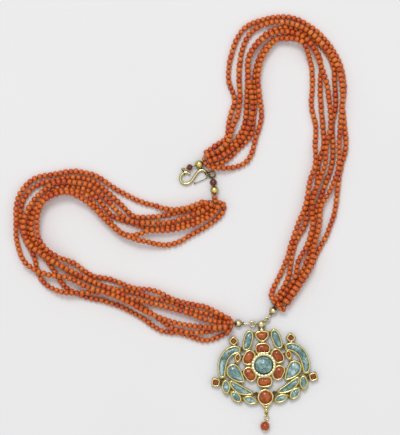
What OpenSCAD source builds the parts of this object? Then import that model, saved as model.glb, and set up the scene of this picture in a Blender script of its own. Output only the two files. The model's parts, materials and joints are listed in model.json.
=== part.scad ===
// Multi-strand coral necklace with a jewelled pendant, lying on a table.
// Two bundles of six coral bead strings run from a hook clasp to a pierced gold pendant.
// Lengths are in millimetres. +X is to the right, +Y away from the pendant, +Z up from the table.

/* [Coral strings] */
// Diameter of a string of coral beads
string_d = 3.2; // [3:0.05:3.2]
// Distance between the middles of two strings where one lies on the other
pile_step = 3.35; // [3.35:0.05:3.6]
// Steepest rise of a string over the ones below it
lie_slope = 0.45; // [0.35:0.05:0.6]
// Diameter of the silk threads at the ends of the strings
thread_d = 0.6; // [0.5:0.05:0.7]

/* [Gold beads] */
// Diameter of the two gold beads beside the clasp
clasp_bead_d = 4.9; // [4.6:0.1:4.9]
// Diameter of the two gold beads beside the pendant
gather_bead_d = 4.6; // [4.4:0.1:4.7]
// Diameter of the hole through a gold bead
bead_bore_d = 1.9; // [1.8:0.05:2]

/* [Clasp] */
// Thickness of the hook's wire
hook_wire_d = 1.2; // [1:0.1:1.2]
// Diameter of the garnet bead on the hook's side
garnet_d = 4; // [3.8:0.1:4]
// Diameter of the garnet bead on the eye's side
eye_garnet_d = 3.8; // [3.4:0.1:3.8]
// Diameter of the amber bead below the left bundle's gold bead
amber_d = 3.3; // [3:0.1:3.3]

/* [Pendant] */
// Height of the gold walls round the stones
wall_top = 3.3; // [3:0.1:3.6]
// Thickness of the gold back under the stones
back_t = 1; // [0.8:0.1:1.2]
// Height of the gold between the walls
web_top = 2.3; // [2:0.1:2.6]
// Width of the gold round each stone
rim_w = 0.9; // [0.85:0.05:0.95]
// Gap between a stone and its wall
stone_gap = 0.08; // [0.05:0.01:0.12]
// Height of the top of the coloured stones
dome_top = 4.6; // [4.2:0.1:5]
// Diameter of the round centre stone
centre_stone_d = 11; // [10.6:0.1:11]
// Height of the top of the centre stone
centre_top = 6.2; // [5.6:0.1:6.6]
// Turn of the pendant on the table, in degrees
pendant_turn = 3.3; // [2:0.1:4.6]
// Diameter of the gold ball at the top of the pendant
ball_d = 4.9; // [4.7:0.1:4.9]
// Diameter of the coral bead that hangs below the pendant
drop_bead_d = 5.5; // [5:0.1:5.6]

/* [Hidden] */
STRINGS = 6;

CORAL = [0.82, 0.35, 0.16];
GOLD = [0.84, 0.71, 0.38];
AQUA = [0.44, 0.63, 0.66];
CARNELIAN = [0.74, 0.32, 0.18];
GARNET = [0.36, 0.09, 0.07];
HONEY = [0.75, 0.42, 0.12];
SILK = [0.52, 0.18, 0.08];

// The table's middle lies under the middle of the whole necklace
SHIFT = [0.53, -0.65, 0];

// Routes of the two bundles from the clasp to the pendant. Each row is a station, about 11.5 mm on:
// its x and y, then how far strings 1 to 6 lie across the bundle there, to the right of travel.
RIGHT_BUNDLE = [
  [14.5, 37, -4, -2.5, -0.5, 1, 3, 5],
  [22, 40.5, -5.5, -2, -1, 1.5, 5, 9],
  [30, 45, -6.5, -4.5, -1.5, 0.5, 3, 11.5],
  [36, 53, -10, -7.5, -1.5, 1, 4, 7.5],
  [38.5, 62, -10.5, -6.5, -1.5, 1.5, 3, 7.5],
  [38.5, 73, -8, -5, -1, 2, 4, 6.5],
  [37, 84.5, -10, -4, 1, 1.5, 5, 7],
  [38, 96.5, -9.5, -4, 0.5, 1, 6.5, 8],
  [43.5, 106.5, -10, -5.5, 1, 2, 6.5, 8],
  [52, 113, -6.5, -3.5, 1, 3, 6.5, 7],
  [62.5, 113.5, -6, -2.5, -0.5, 2.5, 5, 6.5],
  [72.5, 109.5, -5, -2, 0, 2.5, 4, 5.5],
  [80, 101.5, -5.5, -2.5, -1.5, 3.5, 2.5, 8],
  [84, 91.5, -7.5, -5.5, -3.5, 3.5, 3.5, 9],
  [84.5, 80, -9.5, -8, -4, 0.5, 4.5, 9],
  [84.5, 68.5, -8.5, -8, -4.5, -1, 4, 9.5],
  [85.5, 57, -8.5, -6, -1.5, -0.5, 4, 8],
  [86, 45, -9, -5, -1.5, 2.5, 4, 9],
  [84, 33.5, -8, -6.5, -2.5, 1.5, 5, 7],
  [81, 22, -9.5, -5.5, -1.5, 2.5, 3, 7.5],
  [77.5, 10.5, -11.5, -3, -1, 2.5, 4.5, 6],
  [75, -0.5, -10.5, -4.5, -1.5, -0.5, 3.5, 7.5],
  [71, -11.5, -9, -5.5, -4, -1.5, 5, 7.5],
  [67.5, -21.5, -8, -7, -4.5, 0, 4.5, 7],
  [62.5, -31.5, -7, -5.5, -4.5, -2.5, 1, 6],
  [57.5, -40.5, -6, -4.5, -4.5, -1, 1, 5.5],
  [55, -46, -5.2, -3.3, -1.8, 0.2, 1.8, 4.3]
];
LEFT_BUNDLE = [
  [18.8, 12, 4.4, 2.9, 1.1, -0.7, -2.5, -5.9],
  [17.5, 8.5, 7, 4.5, 2.5, 0, -2.5, -6],
  [12.5, 4, 8.5, 6, 3.5, 0.5, -1.5, -5.5],
  [4.5, 0.5, 9, 7.5, 4, 0.5, -1.5, -6.5],
  [-7, -1.5, 10, 7, 2.5, -0.5, -2, -10.5],
  [-18.5, -1, 12, 5, 1.5, -1.5, -3, -9.5],
  [-29, 1, 13, 3.5, 0.5, -0.5, -8, -8.5],
  [-37.5, 7, 11.5, 4.5, 0.5, -3.5, -7, -8],
  [-45, 14, 9, 4.5, 1, -2.5, -6, -7.5],
  [-53, 21, 7.5, 4, 1, -2, -5, -8],
  [-62, 24.5, 6, 2.5, -0.5, -3, -5.5, -7],
  [-72.5, 23, 6, 2.5, 1, -2, -4, -5.5],
  [-82, 19, 8, 4, -1, -4, -5.5, -6],
  [-88, 11.5, 7.5, 4.5, -0.5, -3.5, -5, -6.5],
  [-90, 1, 6, 3.5, 1.5, -1, -3, -6.5],
  [-89.5, -9.5, 6, 1, 0, -2, -4, -7],
  [-85.5, -19, 6, 0, -4.5, -4, -6.5, -8.5],
  [-77, -26.5, 3, 7.5, -5.5, -2.5, -6.5, -9],
  [-66, -31, 0, 9, -4.5, 5.5, -3, -9],
  [-54, -35.5, 1, 4.5, -3, 7, -2.5, -6],
  [-42.5, -38.5, 1.5, 1, -1.5, 6.5, -1.5, -6.5],
  [-30.5, -42, 3, 2, 0.5, 7.5, -3, -5.5],
  [-19, -46.5, 4.5, 3.5, -1, 9, -4, -8.5],
  [-8, -51, 4.5, 6.5, -2.5, 11.5, -6, -8],
  [3, -55, 3.5, 7.5, -3.5, 9, -5.5, -9],
  [14, -57.5, 2, 5, -2, 10, -5.5, -9],
  [23, -58, 1.5, 2.5, -1, 6.5, -3.5, -5.5],
  [27, -57.5, 1, 2.5, -0.5, 4, -2, -3.5]
];
// Strings of each bundle from the lowest to the highest where they cross
RIGHT_PILE = [3, 1, 5, 4, 2, 6];
LEFT_PILE = [4, 5, 2, 6, 3, 1];
STATION_RUN = 11.5;
RINGS_PER_STATION = 2;
STEPS_PER_RING = 4;
TUBE_SIDES = 8;
HOOK_SIDES = 10;
// Facets of a full turn of wires and small balls, rings and beads, the pendant's ball, the stone
WIRE_FN = 32;
RING_FN = 48;
BALL_FN = 64;
STONE_FN = 96;
TUBE_R = string_d / 2;
REST_Z = TUBE_R * cos(180 / TUBE_SIDES);

// Where the gold beads lie, and the way their holes point towards the strings
CLASP_RIGHT = [9.9, 34.5];
CLASP_RIGHT_WAY = 26;
CLASP_LEFT = [18.8, 19.6];
CLASP_LEFT_WAY = -88;
AMBER = [18.9, 15.45];
AMBER_BORE = 1.6;
GATHER_RIGHT = [52.8, -50.1];
GATHER_RIGHT_WAY = 62;
GATHER_LEFT = [32.6, -57.5];
GATHER_LEFT_WAY = 180;
THREAD_GAP = 0.8;
THREAD_SIDES = 8;
KNOT_D = 1.4;
KNOT_OUT = 0.4;
KNOT_TURN = 15;
CORD_D = 0.8;
// Where the cord from the amber bead ends inside the gold bead: reach and height
CORD_REACH = 1.4;
CORD_Z = 2;
TIE_D = 0.95;

// Course of the hook's wire in plan, from the tip round both bends to the shank
HOOK_ROUTE = [
  [4.1, 29.3], [2.7, 30], [1.2, 29.6], [-0.3, 28.4], [-1, 26.6], [-0.6, 24.8], [0.6, 23.7],
  [2.2, 23.3], [4.1, 23.8], [5.7, 25.2], [7, 27.1], [8.4, 29.1], [10, 30.8], [11.6, 31.4], [12.9, 31]
];
HOOK_Z = 1.6;
HOOK_TIP_D = 1.6;
SHANK_START = [13.7, 30.3];
SHANK_WAY = -58;
SHANK_L = 1.8;
SHANK_R = 0.75;
// How far the shank reaches back over the hook's wire, and the rod to the eye into the shank
SHANK_BACK = 0.4;
EYE_ROD_IN = 1;
EYE_ROD_D = 0.9;
WRAPS = 3;
WRAP_D = 0.6;
WRAP_FIRST = 0.45;
WRAP_STEP = 0.65;
HOOK_EYE = [15.5, 28.35, 2.2];
HOOK_EYE_WAY = 10;
HOOK_EYE_R = 1;
HOOK_EYE_WIRE = 0.6;
// The thin tail of the hook's wire, from the shank back under the hook's bend
TAIL_ROUTE = [[14.5, 29.2], [14.2, 26.6], [10.3, 24.7], [7.4, 23.6]];
TAIL_TIP = TAIL_ROUTE[len(TAIL_ROUTE) - 1];
TAIL_D = 0.6;
TAIL_Z = 1.1;
TAIL_END_D = 1;

// Eye that the hook catches: a ring on a thread with a garnet and two small gold beads
EYE_RING = [1, 30.05, 1.95];
EYE_RING_WAY = 112;
EYE_RING_R = 1.6;
EYE_RING_WIRE = 0.6;
EYE_LOOP_R = 0.75;
EYE_LOOP_WIRE = 0.4;
// How far the loop's middle lies off the ring's wire, along X and Y
EYE_LOOP_OFF = [0.1, 0.1, 0];
// How far from the gold bead's middle the eye's thread starts
EYE_THREAD_IN = 1;
SMALL_GOLD_D = 1.2;
SMALL_GOLD_BORE = 0.7;
// Gaps between the gold bead, the small gold beads and the garnet
EYE_FIRST_GAP = 0.15;
EYE_GAP = 0.05;

// Ring between the hook and the garnet bead's pin
CLASP_RING_R = 1.9;
CLASP_RING_WIRE = 0.6;
CLASP_RING_TILT = 20;
CLASP_RING_Z = 2.25;
PIN_LOOP = [17.66, 26.86, 1.66];
PIN_LOOP_WAY = -80;
PIN_LOOP_R = 0.65;
PIN_END = [18.75, 20.6, 2.45];
PIN_D = 0.45;
PIN_LOOP_WIRE = 0.36;
PIN_TWIST_D = 0.8;
GARNET_REACH = 2.88;
GARNET_BORE = 0.9;

// Chains between the pendant's ball and the gather beads
CHAIN_Z = 2.3;
CHAIN_WIRE = 0.56;
EYELET_R = 1.1;
EYELET_WIRE = 0.6;
EYELET_OUT = 3.4;
BALL_LEFT_WAY = 178;
BALL_RIGHT_WAY = 34;
RIGHT_RING_R = 1.15;
LEFT_RING_R = 1.6;
LINK_HALF_H = 0.9;
LINK_SIDE_D = 0.62;
LINK_OVERLAP = 0.1;
// How far the round link's edge lies past the eyelet's middle, and the oval link reaches into it
LINK_SLACK = 0.1;
LINK_IN = 0.7;
// Gap from a gather bead to the middle of the oval link's end, and how far the thread's loop
// lies inside that end
LINK_GAP = 0.6;
LOOP_IN = 0.12;
LOOP_R = 0.7;
LOOP_WIRE = 0.48;

// Small ball, ring and pin that carry the coral drop, on the pendant's plan
DROP_BALL_Y = -27.5;
DROP_BALL_D = 2.3;
DROP_STEM_Y = -24.8;
DROP_STEM_D = 1.1;
DROP_Z = 1.2;
DROP_EYELET_Y = -29.2;
DROP_EYELET_R = 0.75;
DROP_RING_Y = -30.6;
DROP_RING_R = 1.3;
DROP_WIRE = 0.5;
DROP_LOOP = [-0.37, -31.95, 1.3];
DROP_LOOP_WAY = -105;
DROP_LOOP_R = 0.6;
DROP_PIN_D = 0.45;
DROP_LOOP_WIRE = 0.36;
DROP_REACH = 3.85;
DROP_BORE = 0.8;
// How far the pin stands out of the bead, and its head overlaps its end
DROP_PIN_OUT = 0.25;
DROP_HEAD_IN = 0.1;
DROP_HEAD_D = 1.1;
DROP_HEAD_H = 0.35;

// Middle of the pendant's centre stone on the table
PENDANT = [47.3, -81.6, 0];
BALL_Y = 23.6;
// Stem from the setting to the ball: where it starts, its height and its thickness
STEM_Y = 19.5;
STEM_Z = 2;
STEM_D = 1.8;
CENTRE_R = centre_stone_d / 2;
BEZEL_R = 6.9;
BEZEL_TOP = 4.1;
STONE_LIFT = 0.05;
STONE_FOOT = back_t + STONE_LIFT;
// Height at which the stones are widest
GIRDLE = wall_top - 0.4;
// Share of the outline at each height of a rounded stone, and how high its shoulder lies
DOME_SCALES = [0.97, 1, 0.8, 0.42];
DOME_SHOULDER = 0.65;
// The same for a stone with a flat table, which lies lower, and its wider girdle's lift
TABLE_SCALES = [0.97, 1, 0.62];
TABLE_DROP = 0.5;
TABLE_GIRDLE = 0.1;
// Share of its length by which a band's spine draws in towards the top
BAND_DRAW = 0.15;

// Stone outlines in the pendant's plan, from its centre stone. Those with both ends on x = 0 are
// the right half of a stone, and the others a whole stone on the right side.
PETAL = [[0, 7.5], [2.6, 7.2], [3.7, 8.8], [3.4, 10.9], [1.9, 12], [0, 11.7]];
UPRIGHT_PETAL = [[0, 7.5], [2.8, 7.3], [3.7, 9], [3.4, 11.2], [1.8, 12], [0, 12.2]];
CROWN = [[0, 19.3], [1.7, 19], [3.4, 18.5], [2.8, 16.6], [1.2, 14.9], [0, 14]];
DROP = [[0, -14.4], [2.2, -16], [3.8, -18.3], [3.3, -20.7], [1.7, -22.7], [0, -24.2]];
TOP_LEAF = [
  [6.3, 19.2], [5.7, 17.4], [6.4, 14], [7.7, 11], [9.3, 9.8],
  [10.7, 10.4], [10.6, 13], [10, 16], [8.7, 18.6], [7.3, 19.6]
];
BODY = [
  [17.6, 1], [20.2, 0], [21.1, -2.4], [20.2, -5], [17.6, -7.2],
  [14.6, -8.4], [12.4, -8.6], [12.9, -6], [13.8, -3.2], [15.4, -0.2]
];
BEAK = [[14.3, 7.5], [16, 5.6], [15.2, 2.6], [13.4, 5.2]];
PETAL_WAYS = [90, 30, -30, -90, -150, 150];

// The neck stone follows a quarter of an ellipse: its middle, radii, and half widths along it
NECK_MIDDLE = [15.5, -2.5];
NECK_RADII = [9, 12.3];
NECK_FROM = 102;
NECK_TO = -14;
NECK_HALF = [1.1, 1.6, 1.8, 1.85, 1.85, 1.85, 1.8, 1.5, 0.9];
// The wing stone's spine from its upper end: x, y and the half width there
WING = [[19.6, -8.6, 0.35], [17.6, -10.9, 1.4], [15, -13, 1.75], [12.2, -14.5, 1.5], [7.8, -15.9, 0.35]];

// Leaf stones: x and y of the middle, length, width, heading of the long way
LEAF_STEPS = 5;
LEAF_FULLNESS = 0.8;
LEAVES = [
  [22.5, -11.3, 7.8, 3.5, 90],
  [17.1, -17.4, 7.4, 3.6, 51],
  [8.9, -19.8, 7.6, 3.4, 200]
];
// Square corner stones: x and y of the middle, side, turn
CORNERS = [[16.6, 14.9, 2.9, 45], [28.3, -8.4, 3.2, 15]];
CORNER_RIM = 0.8;
CORNER_CUT = 0.1;
// Where the gold of two walls is soldered together
SOLDER = [
  [12.4, 5.2], [15.6, 12.4], [25.3, -9.2], [4.5, 18.2], [8.6, 9.3], [12.2, 9.9],
  [15.6, 1.7], [23.4, -6.6], [13.3, -19.1], [4.6, -19.6], [5.2, -16.4], [12.1, -5.6], [0, -13.3]
];
SOLDER_D = 2;
SOLDER_SIDES = 12;
// Half the width of the narrowest gap left open between two walls
WEB = 0.6;

// Smooth curve through the rows a, b, c and d, from b at u = 0 to c at u = 1
function cubic(a, b, c, d, u) =
  0.5 * (2 * b + (c - a) * u + (2 * a - 5 * b + 4 * c - d) * u * u
         + (3 * b - a - 3 * c + d) * u * u * u);

// Its direction
function cubic_slope(a, b, c, d, u) =
  0.5 * ((c - a) + 2 * (2 * a - 5 * b + 4 * c - d) * u + 3 * (3 * b - a - 3 * c + d) * u * u);

function start_row(rows, t) = min(floor(t), len(rows) - 2);

function near_row(rows, i) = rows[max(0, min(i, len(rows) - 1))];

function row_at(rows, t) =
  let (i = start_row(rows, t))
  cubic(near_row(rows, i - 1), rows[i], rows[i + 1], near_row(rows, i + 2), t - i);

function slope_at(rows, t) =
  let (i = start_row(rows, t))
  cubic_slope(near_row(rows, i - 1), rows[i], rows[i + 1], near_row(rows, i + 2), t - i);

function unit(v) = v / norm(v);

function flat(v) = [v.x, v.y];

// Point in plan of string k of a bundle at station t
function string_point(rows, t, k) =
  let (row = row_at(rows, t), way = unit(flat(slope_at(rows, t))))
  flat(row) + [way.y, -way.x] * row[k + 1];

// How high a string with ring heights z lies at fine step f
function height_at(z, f) =
  let (i = min(floor(f / STEPS_PER_RING), len(z) - 2), u = f / STEPS_PER_RING - i)
  z[i] * (1 - u) + z[i + 1] * u;

// Least height of string k at fine step f, over the table and the strings already laid
function least_height(across, f, k, laid) =
  max([
    REST_Z,
    for (below = laid)
      let (aside = abs(across[f][k + 1] - across[f][below[0] + 1]))
      if (aside < pile_step) height_at(below[1], f) + sqrt(pile_step * pile_step - aside * aside)
  ]);

// Ring heights of a string that clears every least height and comes down no faster than it may
function draped(least, rings) =
  let (fall = lie_slope * STATION_RUN / RINGS_PER_STATION)
  [
    for (i = [0:rings - 1])
      max([for (f = [0:len(least) - 1]) least[f] - fall * max(0, abs(f / STEPS_PER_RING - i) - 1)])
  ];

// Lays the strings of a bundle one after another and lists each with its ring heights
function lay(rows, across, pile, laid = []) =
  len(laid) == len(pile) ? laid :
  let (
    k = pile[len(laid)],
    least = [for (f = [0:len(across) - 1]) least_height(across, f, k, laid)],
    z = draped(least, RINGS_PER_STATION * (len(rows) - 1) + 1)
  )
  lay(rows, across, pile, concat(laid, [[k, z]]));

function bundle_rows(rows) =
  let (steps = RINGS_PER_STATION * STEPS_PER_RING)
  [for (f = [0:steps * (len(rows) - 1)]) row_at(rows, f / steps)];

RIGHT_LAID = lay(RIGHT_BUNDLE, bundle_rows(RIGHT_BUNDLE), RIGHT_PILE);
LEFT_LAID = lay(LEFT_BUNDLE, bundle_rows(LEFT_BUNDLE), LEFT_PILE);

function string_route(rows, laid, k) =
  let (z = [for (one = laid) if (one[0] == k) one[1]][0])
  [
    for (i = [0:len(z) - 1])
      let (p = string_point(rows, i / RINGS_PER_STATION, k)) [p.x, p.y, z[i]]
  ];

RIGHT_ROUTES = [for (k = [1:STRINGS]) string_route(RIGHT_BUNDLE, RIGHT_LAID, k)];
LEFT_ROUTES = [for (k = [1:STRINGS]) string_route(LEFT_BUNDLE, LEFT_LAID, k)];

function on_ellipse(middle, radii, a) = [middle.x + radii.x * cos(a), middle.y + radii.y * sin(a)];

// Both halves of an outline whose ends lie on x = 0
function both_halves(half) =
  concat(half, [for (i = [len(half) - 2:-1:1]) [-half[i].x, half[i].y]]);

function twice_area(o) =
  [for (i = [0:len(o) - 1]) cross(o[i], o[(i + 1) % len(o)])] * [for (p = o) 1];

function backwards(o) = [for (i = [len(o) - 1:-1:0]) o[i]];

function anticlockwise(o) = twice_area(o) > 0 ? o : backwards(o);

function middle_of(o) = [for (p = o) 1] * o / len(o);

// Closed curve through an outline's points, with one point more between each two
function rounded(o) =
  let (n = len(o))
  [
    for (i = [0:n - 1], u = [0, 0.5])
      cubic(o[(i + n - 1) % n], o[i], o[(i + 1) % n], o[(i + 2) % n], u)
  ];

function turned(o, way) =
  [for (p = o) [p.x * cos(way) - p.y * sin(way), p.x * sin(way) + p.y * cos(way)]];

function moved(o, by) = [for (p = o) p + by];

function mirrored(o) = [for (p = o) [-p.x, p.y]];

// Outline of a pointed leaf along X
function leaf(l, w) =
  let (half = [
    for (i = [0:LEAF_STEPS])
      let (u = i / LEAF_STEPS) [w / 2 * pow(sin(180 * u), LEAF_FULLNESS), l * (u - 0.5)]
  ])
  turned(both_halves(half), -90);

// Outline of a square with cut corners
function cut_square(side) =
  let (h = side / 2, c = side * CORNER_CUT)
  [[h, c - h], [h, h - c], [h - c, h], [c - h, h], [-h, h - c], [-h, c - h], [c - h, -h], [h - c, -h]];

// Outline of a band along a spine, drawn in by the factor f from its sides and ends
function band(spine, half, f) =
  let (
    last = len(spine) - 1,
    middle = spine[floor(last / 2)],
    s = [for (p = spine) p + (middle - p) * (1 - f) * BAND_DRAW],
    ways = [for (i = [0:last]) unit(s[min(i + 1, last)] - s[max(i - 1, 0)])],
    one_side = [for (i = [0:last]) s[i] + [ways[i].y, -ways[i].x] * half[i] * f],
    other_side = [for (i = [last:-1:0]) s[i] - [ways[i].y, -ways[i].x] * half[i] * f]
  )
  concat(one_side, other_side);

NECK_SPINE = [
  for (i = [0:len(NECK_HALF) - 1])
    on_ellipse(NECK_MIDDLE, NECK_RADII, NECK_FROM + (NECK_TO - NECK_FROM) * i / (len(NECK_HALF) - 1))
];

WING_FINE = [for (t = [0:0.5:len(WING) - 1]) row_at(WING, t)];
WING_SPINE = [for (row = WING_FINE) flat(row)];
WING_HALF = [for (row = WING_FINE) row[2]];

function petal_plan(i) =
  turned(rounded(both_halves(abs(PETAL_WAYS[i]) == 90 ? UPRIGHT_PETAL : PETAL)), PETAL_WAYS[i] - 90);

function leaf_plan(row) = moved(turned(leaf(row[2], row[3]), row[4]), flat(row));

function corner_plan(row, grow = 0) =
  moved(turned(cut_square(row[2] + 2 * grow), row[3]), flat(row));

CROWN_PLAN = rounded(both_halves(CROWN));
DROP_PLAN = rounded(both_halves(DROP));
// Outlines of the stones on the right side, apart from the two bands
SIDE_PLANS = concat(
  [rounded(TOP_LEAF), rounded(BODY), BEAK],
  [for (row = LEAVES) leaf_plan(row)]
);

module placed() {
  translate(SHIFT) children();
}

// Round tube with flats below and above, swept along a route that never turns upright
module tube(route, r, sides) {
  last = len(route) - 1;
  points = [
    for (i = [0:last])
      let (way = unit(flat(route[min(i + 1, last)] - route[max(i - 1, 0)])), side = [way.y, -way.x, 0])
      for (j = [0:sides - 1])
        let (a = (j + 0.5) * 360 / sides) route[i] + side * (r * cos(a)) + [0, 0, r * sin(a)]
  ];
  walls = [
    for (i = [0:last - 1]) for (j = [0:sides - 1])
      let (a = i * sides + j, b = i * sides + (j + 1) % sides)
      each [[a, b, a + sides], [b, b + sides, a + sides]]
  ];
  first_cap = [for (j = [sides - 1:-1:0]) j];
  last_cap = [for (j = [0:sides - 1]) last * sides + j];
  polyhedron(points, concat(walls, [first_cap, last_cap]));
}

// Turns the children's Z from a towards b and puts them a length along that line
module on_line(a, b, l = 0) {
  v = b - a;
  translate(a + unit(v) * l)
    rotate([0, acos(v.z / norm(v)), atan2(v.y, v.x)]) children();
}

// Straight rod from a to b
module rod(a, b, d, sides = WIRE_FN) {
  on_line(a, b) cylinder(h = norm(b - a), d = d, $fn = sides);
}

// Ring of round wire with its hole along Z
module wire_ring(mean_r, wire_d) {
  rotate_extrude($fn = RING_FN) translate([mean_r, 0]) circle(d = wire_d, $fn = WIRE_FN);
}

// The same ring standing on edge, in line with a heading
module upright_ring(p, way, mean_r, wire_d) {
  translate(p) rotate([90, 0, way]) wire_ring(mean_r, wire_d);
}

// Round bead with its hole along Z
module drilled_ball(d, bore) {
  difference() {
    sphere(d = d, $fn = RING_FN);
    cylinder(h = 2 * d, d = bore, center = true, $fn = WIRE_FN);
  }
}

module strand_right(k) {
  color(CORAL) placed() tube(RIGHT_ROUTES[k - 1], TUBE_R, TUBE_SIDES);
}

module strand_left(k) {
  color(CORAL) placed() tube(LEFT_ROUTES[k - 1], TUBE_R, TUBE_SIDES);
}

function ahead(p, way, l, z) = [p.x + l * cos(way), p.y + l * sin(way), z];

function knot_by(bead, way, r) = ahead(bead, way, r + KNOT_OUT, r);

// Six threads that spread from a knot outside a bead to the ends of the strings
module thread_fan(bead, way, r, ends) {
  knot = knot_by(bead, way, r);
  translate(knot) rotate([90, 0, way + KNOT_TURN]) sphere(d = KNOT_D, $fn = WIRE_FN);
  for (e = ends) rod(knot, e - unit(e - knot) * THREAD_GAP, thread_d, THREAD_SIDES);
}

function first_points(routes) = [for (r = routes) r[0]];

function last_points(routes) = [for (r = routes) r[len(r) - 1]];

module threads_right_back() {
  color(SILK) placed()
    thread_fan(CLASP_RIGHT, CLASP_RIGHT_WAY, clasp_bead_d / 2, first_points(RIGHT_ROUTES));
}

module threads_left_back() {
  color(SILK) placed() {
    thread_fan(AMBER, CLASP_LEFT_WAY, amber_d / 2, first_points(LEFT_ROUTES));
    rod(knot_by(AMBER, CLASP_LEFT_WAY, amber_d / 2),
        ahead(CLASP_LEFT, CLASP_LEFT_WAY, CORD_REACH, CORD_Z), CORD_D);
  }
}

// Threads through a gather bead, with the loop that holds the outer link
module front_threads(bead, way, ends, link_way) {
  r = gather_bead_d / 2;
  thread_fan(bead, way, r, ends);
  tie = ahead(bead, link_way, LOOP_REACH - LOOP_R, CHAIN_Z);
  rod(knot_by(bead, way, r), tie, CORD_D);
  translate(tie) sphere(d = TIE_D, $fn = WIRE_FN);
  translate(ahead(bead, link_way, LOOP_REACH, CHAIN_Z)) wire_ring(LOOP_R, LOOP_WIRE);
}

module threads_right_front() {
  color(SILK) placed()
    front_threads(GATHER_RIGHT, GATHER_RIGHT_WAY, last_points(RIGHT_ROUTES), RIGHT_CHAIN_WAY + 180);
}

module threads_left_front() {
  color(SILK) placed()
    front_threads(GATHER_LEFT, GATHER_LEFT_WAY, last_points(LEFT_ROUTES), LEFT_CHAIN_WAY + 180);
}

// Drilled ball lying on the table with its hole in line with a heading
module lying_bead(p, way, d, bore) {
  translate([p.x, p.y, d / 2]) rotate([0, 90, way]) drilled_ball(d, bore);
}

module gold_bead(p, way, d) {
  color(GOLD) placed() lying_bead(p, way, d, bead_bore_d);
}

// Wire hook in an S, with a wound shank, an eye and a thin tail
module s_hook() {
  bends = [for (i = [0:len(HOOK_ROUTE) - 2], u = [0, 0.5]) row_at(HOOK_ROUTE, i + u)];
  plan = concat(bends, [HOOK_ROUTE[len(HOOK_ROUTE) - 1], SHANK_START]);
  start = [SHANK_START.x, SHANK_START.y, HOOK_Z];
  neck = ahead(SHANK_START, SHANK_WAY, EYE_ROD_IN, HOOK_Z);
  color(GOLD) placed() {
    tube([for (p = plan) [p.x, p.y, HOOK_Z]], hook_wire_d / 2, HOOK_SIDES);
    translate([HOOK_ROUTE[0].x, HOOK_ROUTE[0].y, HOOK_Z]) sphere(d = HOOK_TIP_D, $fn = WIRE_FN);
    on_line(start, neck, -SHANK_BACK) {
      cylinder(h = SHANK_L + SHANK_BACK, r = SHANK_R, $fn = WIRE_FN);
      for (i = [0:WRAPS - 1])
        translate([0, 0, WRAP_FIRST + WRAP_STEP * i]) wire_ring(SHANK_R, WRAP_D);
    }
    rod(neck, ahead(HOOK_EYE, HOOK_EYE_WAY, -HOOK_EYE_R, HOOK_EYE.z), EYE_ROD_D);
    upright_ring(HOOK_EYE, HOOK_EYE_WAY, HOOK_EYE_R, HOOK_EYE_WIRE);
    tube([for (p = TAIL_ROUTE) [p.x, p.y, TAIL_Z]], TAIL_D / 2, TUBE_SIDES);
    translate([TAIL_TIP.x, TAIL_TIP.y, TAIL_Z]) sphere(d = TAIL_END_D, $fn = WIRE_FN);
  }
}

EYE_LOOP = EYE_RING + [cos(EYE_RING_WAY), sin(EYE_RING_WAY), 0] * EYE_RING_R + EYE_LOOP_OFF;
EYE_THREAD_START = [CLASP_RIGHT.x, CLASP_RIGHT.y, clasp_bead_d / 2];
EYE_REACH = norm(EYE_LOOP - EYE_THREAD_START);
EYE_GARNET_REACH = clasp_bead_d / 2 + SMALL_GOLD_D + eye_garnet_d / 2 + EYE_FIRST_GAP;

module eye_ring() {
  color(GOLD) placed() upright_ring(EYE_RING, EYE_RING_WAY, EYE_RING_R, EYE_RING_WIRE);
}

module eye_thread() {
  color(SILK) placed() {
    on_line(EYE_THREAD_START, EYE_LOOP, EYE_THREAD_IN)
      cylinder(h = EYE_REACH - EYE_LOOP_R - EYE_THREAD_IN, d = thread_d, $fn = WIRE_FN);
    translate(EYE_LOOP) wire_ring(EYE_LOOP_R, EYE_LOOP_WIRE);
  }
}

module eye_garnet() {
  color(GARNET) placed()
    on_line(EYE_THREAD_START, EYE_LOOP, EYE_GARNET_REACH) drilled_ball(eye_garnet_d, GARNET_BORE);
}

module eye_gold_beads() {
  aside = (eye_garnet_d + SMALL_GOLD_D) / 2 + EYE_GAP;
  color(GOLD) placed()
    for (way = [-1, 1])
      on_line(EYE_THREAD_START, EYE_LOOP, EYE_GARNET_REACH + way * aside)
        drilled_ball(SMALL_GOLD_D, SMALL_GOLD_BORE);
}

module clasp_ring() {
  color(GOLD) placed()
    translate(ahead(HOOK_EYE, HOOK_EYE_WAY, CLASP_RING_R, CLASP_RING_Z))
      rotate([CLASP_RING_TILT, 0, 0])
        rotate([0, 0, HOOK_EYE_WAY]) wire_ring(CLASP_RING_R, CLASP_RING_WIRE);
}

module clasp_pin() {
  twist = ahead(PIN_LOOP, PIN_LOOP_WAY, PIN_LOOP_R, PIN_LOOP.z);
  color(GOLD) placed() {
    upright_ring(PIN_LOOP, PIN_LOOP_WAY, PIN_LOOP_R, PIN_LOOP_WIRE);
    translate(twist) sphere(d = PIN_TWIST_D, $fn = WIRE_FN);
    rod(twist, PIN_END, PIN_D);
  }
}

module garnet_bead() {
  color(GARNET) placed() on_line(PIN_LOOP, PIN_END, GARNET_REACH) drilled_ball(garnet_d, GARNET_BORE);
}

module amber_bead() {
  color(HONEY) placed() lying_bead(AMBER, CLASP_LEFT_WAY, amber_d, AMBER_BORE);
}

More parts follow.
